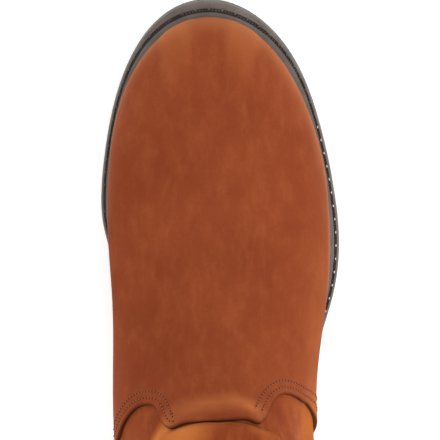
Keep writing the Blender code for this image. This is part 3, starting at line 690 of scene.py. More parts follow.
def leather_group():
    """Oiled, lightly buffed leather: tone, nap height and roughness over the surface. Its tone also
    carries painted highlight and painted shade from Bend, and a nearly black cut edge.
    """
    found = bpy.data.node_groups.get("buffed_leather")
    if found:
        return found
    inputs = {
        "Position": (0, 0, 0),
        "Body": (0.3, 0.08, 0.03, 1),
        "Deep": (0.2, 0.05, 0.02, 1),
        "RubbedLit": (0.5, 0.2, 0.08, 1),
        "Mottle": 0.5,
        "Grain Scale": 900.0,
        "Bend": 0.0,
        "Edge": 0.0,
    }
    tree, into, out = new_group("buffed_leather", inputs, ("Color", "Height", "Roughness"))
    place = into.outputs["Position"]
    body, deep, rubbed_and_lit, bend = (into.outputs[key] for key in ("Body", "Deep", "RubbedLit", "Bend"))
    cloud = noise_node(tree, place, 30.0, 3.0, 0.5)
    streak = noise_node(tree, place, 110.0, 4.0, 0.6, (1.8, 0.7, 1.0))
    fine = noise_node(tree, place, 620.0, 4.0, 0.7)
    tone = layer(tree, body, deep, cloud, 0.40, 0.68, into.outputs["Mottle"])
    tone = layer(tree, tone, rubbed_and_lit, streak, 0.45, 0.80, 0.22)
    tone = layer(tree, tone, deep, fine, 0.45, 0.80, 0.35)
    # Painted highlight and painted shade: Bend takes the tone to the lighter colour on fold ridges
    # and lit patches, partly pulled leather, and to the deep colour in fold troughs and shaded
    # patches
    tone = layer(tree, tone, rubbed_and_lit, bend, 0.05, 1.00, 0.75)
    tone = layer(tree, tone, deep, bend, -0.05, -1.00, 0.70)
    # The cut edge goes nearly black: the leather's dark edge with the painted shadow of the gap
    # under it
    tone = mix_node(tree, into.outputs["Edge"], tone, (0.05, 0.012, 0.006, 1))
    grain = noise_node(tree, place, into.outputs["Grain Scale"], 5.0, 0.65)
    height = math_node(tree, "ADD", math_node(tree, "MULTIPLY", grain, 0.6), cloud)
    rough = math_node(tree, "ADD", math_node(tree, "MULTIPLY", cloud, 0.20), 0.66)
    for key, value in (("Color", tone), ("Height", height), ("Roughness", rough)):
        tree.links.new(value, out.inputs[key])
    return tree


def rubber_group():
    """Moulded rubber with a dusty bloom: tone and height over the surface."""
    found = bpy.data.node_groups.get("moulded_rubber")
    if found:
        return found
    inputs = {
        "Position": (0, 0, 0),
        "Body": (0.1, 0.1, 0.1, 1),
        "Bloom": (0.3, 0.3, 0.3, 1),
        "Dust": 0.5,
    }
    tree, into, out = new_group("moulded_rubber", inputs, ("Color", "Height"))
    place = into.outputs["Position"]
    cloud = noise_node(tree, place, 90.0, 5.0, 0.65)
    fine = noise_node(tree, place, 1400.0, 3.0, 0.6)
    body, bloom = into.outputs["Body"], into.outputs["Bloom"]
    tone = layer(tree, body, bloom, cloud, 0.40, 0.70, into.outputs["Dust"])
    tree.links.new(tone, out.inputs["Color"])
    tree.links.new(math_node(tree, "ADD", cloud, fine), out.inputs["Height"])
    return tree


def base_material(name, roughness=0.6):
    """A new material, or the one that this script has made under that name."""
    name += "_look"
    material = bpy.data.materials.get(name)
    if material:
        return material, None, None, None
    material = bpy.data.materials.new(name)
    material.use_nodes = True
    tree = material.node_tree
    shader = tree.nodes["Principled BSDF"]
    shader.inputs["Roughness"].default_value = roughness
    place = tree.nodes.new("ShaderNodeTexCoord").outputs["Object"]
    return material, tree, shader, place


def add_bump(tree, shader, height, strength, distance):
    bump = tree.nodes.new("ShaderNodeBump")
    bump.inputs["Strength"].default_value = strength
    bump.inputs["Distance"].default_value = distance
    tree.links.new(height, bump.inputs["Height"])
    tree.links.new(bump.outputs[0], shader.inputs["Normal"])


def attribute(tree, name):
    node = tree.nodes.new("ShaderNodeAttribute")
    node.attribute_name = name
    return node.outputs["Fac"]


def group_node(tree, group, place, **inputs):
    """A node of a shader group, with its inputs linked or set; colours have three numbers."""
    node = tree.nodes.new("ShaderNodeGroup")
    node.node_tree = group
    tree.links.new(place, node.inputs["Position"])
    for key, value in inputs.items():
        whole = (*value, 1.0) if isinstance(value, COLOUR_TYPES) else value
        plug(tree, node.inputs[key.replace("_", " ")], whole)
    return node


def leather_material(name, body, deep, rubbed_and_lit, mottle=0.55, sheen=0.12):
    material, tree, shader, place = base_material(name)
    if tree is None:
        return material
    bend, edge = attribute(tree, "bend"), attribute(tree, "edge")
    shades = {"Body": body, "Deep": deep, "RubbedLit": rubbed_and_lit, "Mottle": mottle}
    group = group_node(
        tree, leather_group(), place, Grain_Scale=900.0, Bend=bend, Edge=edge, **shades
    )
    tree.links.new(group.outputs["Color"], shader.inputs["Base Color"])
    tree.links.new(group.outputs["Roughness"], shader.inputs["Roughness"])
    shader.inputs["Specular IOR Level"].default_value = 0.08
    shader.inputs["Specular Tint"].default_value = (1.0, 0.55, 0.30, 1.0)
    shader.inputs["Sheen Weight"].default_value = sheen
    shader.inputs["Sheen Roughness"].default_value = 0.28
    shader.inputs["Sheen Tint"].default_value = (1.0, 0.42, 0.10, 1.0)
    add_bump(tree, shader, group.outputs["Height"], 0.35, 0.0002)
    return material


def rubber_material(name, body, bloom, dust):
    material, tree, shader, place = base_material(name, 0.62)
    if tree is None:
        return material
    group = group_node(tree, rubber_group(), place, Body=body, Bloom=bloom, Dust=dust)
    tree.links.new(group.outputs["Color"], shader.inputs["Base Color"])
    shader.inputs["Specular IOR Level"].default_value = 0.35
    add_bump(tree, shader, group.outputs["Height"], 0.4, 0.00025)
    return material


def plain_material(name, colour, roughness, height_scale=0.0):
    material, tree, shader, place = base_material(name, roughness)
    if tree is None:
        return material
    shader.inputs["Base Color"].default_value = (*colour, 1.0)
    shader.inputs["Specular IOR Level"].default_value = 0.3
    if height_scale:
        add_bump(tree, shader, noise_node(tree, place, height_scale), 0.4, 0.0002)
    return material


def vamp_material():
    looks = bpy.context.scene.boot_looks
    return leather_material("vamp_leather", looks.leather, looks.leather_deep, looks.leather_rubbed_and_lit)


def shaft_material():
    looks = bpy.context.scene.boot_looks
    return leather_material(
        "shaft_leather", looks.shaft, looks.leather_deep, looks.shaft_rubbed_and_lit, 0.5, 0.14
    )


def thread_materials():
    thread = plain_material("thread", (0.235, 0.072, 0.029), 0.7)
    # The needle holes are dark beads, painted shade where the thread goes into the leather
    return thread, plain_material("needle_hole_shade", (0.035, 0.010, 0.006), 0.9)


# Geometry Nodes

# The sizes that a run of stitches has, and those of the seams of the shaft
STITCH_SIZES = ("Pitch", "Length", "Radius", "Hole Radius")
SEAM_STITCHES = (0.0025, 0.0019, 0.00026, 0.00028)


def tree_node(tree, kind, **inputs):
    node = tree.nodes.new(kind)
    for key, value in inputs.items():
        plug(tree, node.inputs[key], value)
    return node


def stitch_tree():
    """Stitches along a path of edges, with a dark bead at the end of each as painted shade in its
    needle hole.
    """
    found = bpy.data.node_groups.get("stitches")
    if found:
        return found
    tree = bpy.data.node_groups.new("stitches", "GeometryNodeTree")
    face = tree.interface
    face.new_socket("Geometry", in_out="INPUT", socket_type="NodeSocketGeometry")
    for label in STITCH_SIZES:
        socket = face.new_socket(label, in_out="INPUT", socket_type="NodeSocketFloat")
        socket.default_value = 0.001
    face.new_socket("Thread", in_out="INPUT", socket_type="NodeSocketMaterial")
    face.new_socket("Hole", in_out="INPUT", socket_type="NodeSocketMaterial")
    face.new_socket("Geometry", in_out="OUTPUT", socket_type="NodeSocketGeometry")
    into, out = tree.nodes.new("NodeGroupInput"), tree.nodes.new("NodeGroupOutput")
    curve = tree_node(tree, "GeometryNodeMeshToCurve", Mesh=into.outputs["Geometry"])

    def repeat(length, thick, segments, rings, material, shift):
        along = tree.nodes.new("GeometryNodeCurveToPoints")
        along.mode = "LENGTH"
        tree.links.new(curve.outputs[0], along.inputs["Curve"])
        tree.links.new(into.outputs["Pitch"], along.inputs["Length"])
        points = along.outputs["Points"]
        if shift is not None:
            move = tree_node(tree, "ShaderNodeVectorMath")
            move.operation = "SCALE"
            tree.links.new(along.outputs["Tangent"], move.inputs[0])
            tree.links.new(shift, move.inputs["Scale"])
            placed = tree_node(tree, "GeometryNodeSetPosition", Geometry=points)
            tree.links.new(move.outputs[0], placed.inputs["Offset"])
            points = placed.outputs[0]
        ball = tree_node(
            tree, "GeometryNodeMeshUVSphere", Segments=segments, Rings=rings, Radius=1.0
        )
        size = tree.nodes.new("ShaderNodeCombineXYZ")
        for axis, value in (("X", thick), ("Y", thick), ("Z", length)):
            tree.links.new(value, size.inputs[axis])
        placed = tree_node(tree, "GeometryNodeInstanceOnPoints", Points=points)
        tree.links.new(ball.outputs["Mesh"], placed.inputs["Instance"])
        tree.links.new(along.outputs["Rotation"], placed.inputs["Rotation"])
        tree.links.new(size.outputs[0], placed.inputs["Scale"])
        real = tree_node(tree, "GeometryNodeRealizeInstances", Geometry=placed.outputs[0])
        smooth = tree_node(tree, "GeometryNodeSetShadeSmooth", Geometry=real.outputs[0])
        done = tree_node(tree, "GeometryNodeSetMaterial", Geometry=smooth.outputs[0])
        tree.links.new(material, done.inputs["Material"])
        return done.outputs[0]

    half_length = math_node(tree, "MULTIPLY", into.outputs["Length"], 0.5)
    half_pitch = math_node(tree, "MULTIPLY", into.outputs["Pitch"], 0.5)
    thread = repeat(half_length, into.outputs["Radius"], 8, 7, into.outputs["Thread"], None)
    hole = into.outputs["Hole Radius"]
    holes = repeat(hole, hole, 7, 5, into.outputs["Hole"], half_pitch)
    join = tree.nodes.new("GeometryNodeJoinGeometry")
    tree.links.new(thread, join.inputs[0])
    tree.links.new(holes, join.inputs[0])
    tree.links.new(join.outputs[0], out.inputs[0])
    return tree


def make_stitches(name, paths, sizes=SEAM_STITCHES, materials=None):
    """Stitches along paths given in boot terms; each path is an array of points."""
    thread, hole = materials or thread_materials()
    points, edges = [], []
    for path in paths:
        start = len(points)
        points += world(path).tolist()
        edges += [(start + i, start + i + 1) for i in range(len(path) - 1)]
    mesh = bpy.data.meshes.new(name + "_path")
    mesh.from_pydata(points, edges, [])
    guide = bpy.data.objects.new(name + "_path", mesh)
    bpy.context.scene.collection.objects.link(guide)
    tree = stitch_tree()
    modifier = guide.modifiers.new("stitches", "NODES")
    modifier.node_group = tree
    known = {s.name: s.identifier for s in tree.interface.items_tree if s.in_out == "INPUT"}
    for label, value in zip(STITCH_SIZES + ("Thread", "Hole"), (*sizes, thread, hole)):
        modifier[known[label]] = value
    bpy.context.view_layer.update()
    deps = bpy.context.evaluated_depsgraph_get()
    result = bpy.data.meshes.new_from_object(guide.evaluated_get(deps), depsgraph=deps)
    bpy.data.objects.remove(guide)
    result.name = name
    return declare(name, result)


# Pieces


def overlay(name, arounds, rows, slot, node):
    """A leather cut along the edge line and laid over the upper."""
    # The rows lie close together near the cut edge, which is slightly rounded and painted nearly
    # black, for the leather's dark edge and the painted shadow of the gap under it
    share = np.concatenate((np.linspace(0, 0.986, rows - 3), (0.9935, 0.9975, 1.0)))
    ring = edge_line(arounds)[:, None] * share[None, :]
    around = arounds[:, None] + 0 * ring
    drop, near = np.zeros(rows), np.zeros(ring.shape)
    drop[-2:] = 0.0002, 0.0006
    near[:, -2:] = 0.5, 0.9
    outer = skin(around, ring, GAP + OVERLAY_THICKNESS - drop[None, :])
    points, faces = shell(outer, skin(around, ring, GAP), False)
    # Fold ridges and lit patches get the lighter colour, as painted highlight and pulled leather;
    # fold troughs and shaded patches the deep colour, as painted shade
    bend = folds(around, ring) / VAMP_FOLD + painted_light(around, ring)
    values = {"bend": mirrored(bend, bend), "edge": mirrored(near, near)}
    make_piece(name, points, faces, [vamp_material()], slot, (node,), values)


def edge_path(first, last, inset, count=260):
    """A line on the vamp at an inset from its cut edge, for its stitches."""
    around = np.linspace(first, last, count)
    ring = edge_line(around)
    steps, turned, climbed = 6, 0.002, 0.02
    for _ in range(steps):
        here = form(around, ring)
        tangent = unit(np.gradient(here, axis=0))
        inward = unit(np.cross(tangent, outward(around, ring)))
        down = form(around, ring - climbed) - here
        inward = inward * np.sign(np.sum(inward * down, -1, keepdims=True))
        turn = (form(around + turned, ring) - here) / turned
        climb = (form(around, ring + climbed) - here) / climbed
        move = inward * inset / steps
        # The move in metres, as changes of the position round the boot and of the ring
        a, b, c = (np.sum(u * v, -1) for u, v in ((turn, turn), (turn, climb), (climb, climb)))
        d, e = np.sum(turn * move, -1), np.sum(climb * move, -1)
        whole = a * c - b * b
        around = around + (d * c - e * b) / whole
        ring = ring + (a * e - b * d) / whole
    return skin(around, ring, GAP + OVERLAY_THICKNESS + 0.00004)


def colour(name, description, default):
    """A colour to set, as linear values."""
    return bpy.props.FloatVectorProperty(
        name=name, description=description, subtype="COLOR", size=3, min=0, max=1, default=default
    )


def distance(name, description, default, least=0.001):
    """A length to set, in metres."""
    return bpy.props.FloatProperty(
        name=name, description=description, subtype="DISTANCE", min=least, default=default
    )


class BootLooks(bpy.types.PropertyGroup):
    """Colours of the boot, as linear values."""

    leather: colour("Leather", "Main colour of the vamp and counter", (0.202, 0.0425, 0.0143))
    # The deep colour: dark mottles of the leather, and also the painted shade in fold troughs and
    # shaded patches
    leather_deep: colour(
        "Deep leather", "Darker, oilier leather in mottles and folds", (0.142, 0.0248, 0.0086)
    )
    # The lighter colour: brushed and pulled leather, and also the painted highlight on fold ridges,
    # lit patches and the vamp's wall
    leather_rubbed_and_lit: colour(
        "RubbedLit leather",
        "Lighter leather where it is brushed or pulled over a fold",
        (0.370, 0.112, 0.036),
    )
    shaft: colour("Shaft leather", "Main colour of the shaft", (0.215, 0.044, 0.0130))
    # The shaft's lighter colour: pulled leather, and mostly the painted highlight where the rolls
    # of the shaft face the light
    shaft_rubbed_and_lit: colour(
        "RubbedLit shaft leather", "Lighter leather over the rolls of the shaft", (0.52, 0.165, 0.040)
    )
    rubber: colour("Rubber", "Colour of the outsole and heel", (0.050, 0.042, 0.038))
    welt: colour("Welt", "Colour of the rubber welt", (0.106, 0.090, 0.078))
    bloom: colour("Bloom", "Pale bloom on the rubber", (0.20, 0.175, 0.160))
    lining: colour("Lining", "Colour of the lining and insole", (0.42, 0.29, 0.17))


class BootSizes(bpy.types.PropertyGroup):
    """Sizes of the boot's small parts."""

    stitch_pitch: distance("Stitch pitch", "From one stitch of the vamp to the next", 0.0018)
    stitch_inset: distance(
        "Stitch inset", "From the vamp's cut edge to the first row of stitches", 0.0030
    )
    stitch_rows: distance("Row spacing", "From the first row of stitches to the second", 0.0030)
    welt_pitch: distance(
        "Welt stitch pitch", "From one stitch of the welt to the next", 0.0062, 0.002
    )
    welt_thickness: distance("Welt thickness", "Thickness of the welt's flange", 0.0038)


def around_line(count, first=0.0, last=2.0, closed=True):
    """Even positions round the boot, from 0 at the back of the heel by 1 at the toe to 2."""
    step = (last - first) / (count if closed else count - 1)
    return first + step * np.arange(count)


class BOOT_OT_vamp(bpy.types.Operator):
    """Build the vamp and the counter, cut along their edge line"""

    bl_idname = "boot.vamp"
    bl_label = "Vamp and counter"

    def execute(self, context):
        front = around_line(341, SEAM_PLACE, 2 - SEAM_PLACE, False)
        overlay("vamp_cut", front, 92, "vamp_leather", "vamp")
        edge = SEAM_PLACE - SEAM_GAP
        back = around_line(161, -edge, edge, False)
        overlay("counter_cut", back, 60, "counter_leather", "counter")
        return {"FINISHED"}


class BOOT_OT_shaft(bpy.types.Operator):
    """Build the upper's leather shell and its lining"""

    bl_idname = "boot.shaft"
    bl_label = "Shaft and lining"

    def execute(self, context):
        looks = context.scene.boot_looks
        around = around_line(300)[:, None]
        edge = edge_line(around)
        below = edge * np.linspace(0, 1, 14)[None, :-1] ** 0.8
        above = edge + (LAST_RING - edge) * np.linspace(0, 1, 100)[None, :]
        ring = np.concatenate((below, above), 1)
        ring[:, -1] = LAST_RING
        leather = WALL * 0.62
        points, faces = shell(skin(around, ring, 0.0), skin(around, ring, -leather))
        # The shaft's rolls take the lighter colour as painted highlight where they face the light,
        # its troughs and shaded patches the deep colour as painted shade
        bend = folds(around, ring) / SHAFT_FOLD + painted_light(around, ring)
        values = {"bend": mirrored(bend, bend)}
        make_piece("shaft", points, faces, [shaft_material()], "shaft_leather", ("upper",), values)
        around = around_line(200)[:, None]
        ring = np.linspace(0, LAST_RING, 90)[None, :] + 0 * around
        outer = skin(around, ring, -leather - 0.00005)
        points, faces = shell(outer, skin(around, ring, -WALL))
        lining = plain_material("lining", looks.lining, 0.85, 700.0)
        make_piece("shaft_lining", points, faces, [lining], "insole_lining")
        return {"FINISHED"}


def welt_wall(around, height, offset=0.0):
    """The welt's inner face against the vamp, at a height over the seat."""
    ring = height / (INSTEP_HEIGHT * 0.07) + 0 * around
    normal = outward(around, ring) * np.array((1.0, 1.0, 0.0))
    clear = GAP + OVERLAY_THICKNESS + 0.0001
    point = form(around, ring) + unit(normal) * (clear + offset)
    point[:, 2] = seat(point[:, 0]) + SEAT_GAP + height
    return point


def welt_section(around, thick):
    """Points of the welt's section: inner ridge, stitch groove and outer flange."""
    edge = np.stack((*sole_point(around, 0.0002), 0 * around), -1)
    inside = welt_wall(around, thick)
    reach = np.linalg.norm((edge - inside)[:, :2], axis=-1)
    toe = ease((at_place(around)[0] - 0.76) / 0.22)
    flange = np.minimum(WELT_FLANGE_SIDE + (WELT_FLANGE_TOE - WELT_FLANGE_SIDE) * toe, 0.45 * reach)
    groove = np.minimum(WELT_GROOVE_SIDE + (WELT_GROOVE_TOE - WELT_GROOVE_SIDE) * toe, 0.30 * reach)

    def over(distance, height):
        """A point at a distance in from the sole's edge."""
        share = 1 - np.minimum(distance / reach, 1.0)
        point = inside + (edge - inside) * np.broadcast_to(share, reach.shape)[:, None]
        point[:, 2] = seat(point[:, 0]) + SEAT_GAP + height
        return point

    inner = flange + groove
    return [
        welt_wall(around, 0.0),
        welt_wall(around, thick * 0.5),
        welt_wall(around, thick + 0.0009),
        over(np.maximum(reach - 0.0005, inner + 0.0003), thick + 0.0015),
        over(inner + 0.0002, thick + 0.0013),
        over(inner, thick + 0.0006),
        over(inner - 0.0001, thick - 0.0002),
        over(flange + groove * 0.75, thick - 0.0011),
        over(flange + groove * 0.25, thick - 0.0011),
        over(flange, thick - 0.0001),
        over(flange - 0.0003, thick + 0.0002),
        over(0.0005, thick + 0.0001),
        over(0.0002, thick - 0.0003),
        over(0.0, thick - 0.0010),
        over(0.0, 0.0),
    ], (over(flange + groove * 0.5, thick - 0.0008), over(flange + groove * 0.15, thick))


class BOOT_OT_welt(bpy.types.Operator):
    """Build the welt with its groove, and the stitches in it"""

    bl_idname = "boot.welt"
    bl_label = "Welt"

    def execute(self, context):
        looks, sizes = context.scene.boot_looks, context.scene.boot_sizes
        around = around_line(440)
        section, (groove, border) = welt_section(around, sizes.welt_thickness)
        points, faces = tube(np.stack(section, 1))
        rubber = rubber_material("welt_rubber", looks.welt, looks.bloom, 0.5)
        # The groove is painted much darker than the welt, as the shade that falls in it
        sunk = rubber_material("welt_groove_shade", [c * 0.34 for c in looks.welt], looks.welt, 0.3)
        indices = [int(i % len(section) in WELT_GROOVE_FACES) for i in range(len(faces))]
        make_piece(
            "welt_strip", points, faces, [rubber, sunk], "welt_rubber", ("welt",), None, indices
        )
        groove = np.concatenate((groove, groove[:1]))
        border = np.concatenate((border, border[:1]))
        # The thread lying in the groove is painted dark, as the shade on it
        cord = rubber_material("welt_cord_shaded", [c * 0.5 for c in looks.welt], looks.bloom, 0.4)
        ribs = (0.0015, 0.0010, 0.00048, 0.0001)
        make_stitches("welt_ribs", [groove], ribs, (cord, sunk))
        lit_knot = plain_material("welt_knot_highlight", (0.62, 0.58, 0.53), 0.6)
        shaded_knot = plain_material("welt_knot_shaded", (0.13, 0.11, 0.095), 0.7)
        # The stitches carry a painted highlight, pale along the lateral side where the light falls,
        # between these shares of the way round, and are painted dark as shade elsewhere
        half, *light = (int(len(around) * share) for share in (0.5, 0.645, 0.745))
        for name, path, size, tone in (
            ("medial", border[: half + 1], 0.8, shaded_knot),
            ("toe", border[half : light[0] + 1], 0.8, shaded_knot),
            ("lateral", border[light[0] : light[1] + 1], 1.0, lit_knot),
            ("heel", border[light[1] :], 0.9, shaded_knot),
        ):
            knots = (sizes.welt_pitch, 0.0013 * size, 0.00034 * size, 0.0001)
            make_stitches("welt_stitches_" + name, [path], knots, (tone, sunk))
        return {"FINISHED"}


def sole_bottom(along):
    """The sole's underside without its lugs; it is thinner over the heel."""
    breast = HEEL_LENGTH / SOLE_LENGTH
    share = along / SOLE_LENGTH
    thin = SEAT_THINNING + (1 - SEAT_THINNING) * ease((share - breast) / (0.5 - breast))
    return seat(along) - SOLE_THICKNESS * thin


def tip_caps(base, count):
    """Faces across an outline of an even count of points from the heel tip round by the toe."""
    half = count // 2
    faces = [[base, base + 1, base + count - 1]]
    for j in range(1, half - 1):
        faces.append([base + j, base + j + 1, base + count - j - 1, base + count - j])
    return faces + [[base + half - 1, base + half, base + half + 1]]


def stacked(levels, caps=tip_caps):
    """A closed block between outlines, each an array of points."""
    count, last = len(levels[0]), (len(levels) - 1) * len(levels[0])
    faces = []
    for low in range(0, last, count):
        for j in range(count):
            k = (j + 1) % count
            faces.append([low + j, low + k, low + count + k, low + count + j])
    return np.concatenate(levels), faces + caps(0, count) + caps(last, count)


def lug_block(start, end, reaches, side):
    """A tread lug with drafted sides, from the floor into the sole."""
    plan = []
    for along in (start, end):
        around = on_side(place_along(along / SOLE_LENGTH), side)
        middle = HALF_SOLE * sole_centre(1 - along / SOLE_LENGTH)
        half = sole_point(around)[1] - middle
        plan.append([(along, middle + half * reach) for reach in reaches])
    plan = np.array([*plan[0], *plan[1][::-1]])
    centre = np.mean(plan, 0)
    levels = []
    for grow, high in ((0.94, 0.0), (0.98, 0.0006), (1.04, None)):
        level = []
        for along, across in centre + (plan - centre) * grow:
            top = sole_bottom(along) + LUG_SINK
            level.append((along, across, top if high is None else toe_lift(along) + high))
        levels.append(np.array(level))
    return stacked(levels, bar_caps)


def joined(parts):
    """Several lists of points and faces as one."""
    points, faces, base = [], [], 0
    for some, polygons in parts:
        points.append(some)
        faces += [[base + i for i in polygon] for polygon in polygons]
        base += len(some)
    return np.concatenate(points), faces


class BOOT_OT_sole(bpy.types.Operator):
    """Build the outsole with its lugs, the heel and the insole"""

    bl_idname = "boot.sole"
    bl_label = "Outsole, heel and insole"

    def execute(self, context):
        looks = context.scene.boot_looks
        rubber = rubber_material("outsole_rubber", looks.rubber, looks.bloom, 0.4)
        around = around_line(360)
        levels = []
        # Each level of the sole's side: inset, the face that it is measured from, and how far up
        for inset, face, rise in (
            (0.0024, sole_bottom, 0.0),
            (0.0008, sole_bottom, 0.0005),
            (0.0002, sole_bottom, 0.0016),
            (0.0, sole_bottom, SOLE_THICKNESS * 0.42),
            (SIDE_GROOVE_EDGE, sole_bottom, SOLE_THICKNESS * 0.46),
            (SIDE_GROOVE, sole_bottom, SOLE_THICKNESS * 0.52),
            (SIDE_GROOVE_EDGE, sole_bottom, SOLE_THICKNESS * 0.58),
            (0.0, sole_bottom, SOLE_THICKNESS * 0.62),
            (0.0, seat, -0.0008),
            (0.0003, seat, -0.0002),
            (0.0010, seat, 0.0),
        ):
            along, across = sole_point(around, inset)
            levels.append(np.stack((along, across, face(along) + rise), -1))
        parts = [stacked(levels)]
        for row in range(LUG_ROWS):
            start = LUG_FIRST + row * LUG_PITCH
            for side in (1, -1):
                for reaches, shift in ((OUTER_LUG, 0.0), (INNER_LUG, INNER_LUG_SHIFT)):
                    end = start + shift + LUG_PITCH - LUG_GROOVE
                    parts.append(lug_block(start + shift, end, reaches, side))
        make_piece(
            "outsole_tread", *joined(parts), [rubber], "outsole_rubber", ("outsole",), hard=30
        )
        self.make_heel(rubber)
        around = around_line(240)
        levels = []
        for inset, height in ((0.0, 0.0), (0.0, 0.0034), (0.0008, 0.0040)):
            point = skin(around, 0.0, -WALL - GAP * 1.5 - inset)
            point[:, 2] = seat(point[:, 0]) + SEAT_GAP + height
            levels.append(point)
        cover = plain_material("insole_cover", looks.lining, 0.9, 500.0)
        make_piece("insole_board", *stacked(levels), [cover], "insole_lining", ("insole",))
        return {"FINISHED"}

    def make_heel(self, rubber):
        """The heel block as bars over a plate, with a hollow breast and layered sides."""

        def outline(up, extra=0.0):
            taper = HEEL_TAPER * (1 - up / HEEL_HEIGHT)
            inset = HEEL_INSET + taper + extra
            breast = HEEL_LENGTH - 0.8 * taper - extra
            side = np.linspace(0, place_along(breast / SOLE_LENGTH), 60)[1:]
            right = np.stack(sole_point(side, inset), -1)
            left = np.stack(sole_point(2 - side, inset), -1)[::-1]
            for row in (right, left):
                row[:, 0] = np.minimum(row[:, 0], breast)
            tips = ((inset, 0.0),), ((breast - HEEL_HOLLOW, 0.0),)
            flat = np.concatenate((tips[0], right, tips[1], left))
            return np.concatenate((flat, np.full((len(flat), 1), up)), 1)

        levels = [outline(LUG_DEPTH, 0.0004)]
        # A fine groove runs round the heel over its bars and between its layers
        for up in (LUG_DEPTH, *(HEEL_HEIGHT * share for share in HEEL_LAYERS)):
            for rise, sunk in ((0.0004, 0.0), (0.0009, 0.0005), (0.0014, 0.0005), (0.0019, 0.0)):
                levels.append(outline(up + rise, sunk))
        parts = [stacked(levels + [outline(HEEL_HEIGHT)])]
        pitch = HEEL_LENGTH / (HEEL_BARS + 1)
        for bar in range(HEEL_BARS + 1):
            low = max(pitch * bar + (HEEL_GROOVE / 2 if bar else 0.0), 0.0050)
            high = pitch * (bar + 1) - (HEEL_GROOVE / 2 if bar < HEEL_BARS else 0.0050)
            parts.append(self.heel_bar(low, high))
        make_piece("heel_block", *joined(parts), [rubber], "heel_rubber", ("heel",), hard=30)

    def heel_bar(self, low, high):
        """One tread bar across the heel, following its outline at both ends."""
        steps = np.linspace(low, high, 8)
        levels = []
        for inset, up in ((0.0008, 0.0), (0.0002, 0.0006), (0.0, LUG_DEPTH + 0.001)):
            spots = np.clip(steps, low + inset, high - inset)
            half = np.abs(sole_point(place_along(spots / SOLE_LENGTH))[1])
            half = half - HEEL_INSET - HEEL_TAPER - inset
            half = np.maximum(half * rounding(spots - 0.0042, HEEL_ROUND * SOLE_LENGTH), 0.004)
            right = np.stack((spots, half, np.full(len(spots), up)), -1)
            left = right[::-1] * np.array((1.0, -1.0, 1.0))
            levels.append(np.concatenate((right, left)))
        return stacked(levels, bar_caps)


def shaft_point(around, drop, offset):
    """Points near the collar: drop below its edge, or above it where drop is negative."""
    edge = form(around, float(LAST_RING))
    fall = edge[..., 2] - form(around, LAST_RING - 1.0)[..., 2]
    ring = LAST_RING - np.clip(np.maximum(drop, 0.0) / fall, 0.0, 1.0)
    normal = unit(outward(around, ring) * np.array((1.0, 1.0, 0.0)))
    point = form(around, ring)
    point[..., 2] = edge[..., 2] - drop
    return point + normal * np.asarray(offset)[..., None]


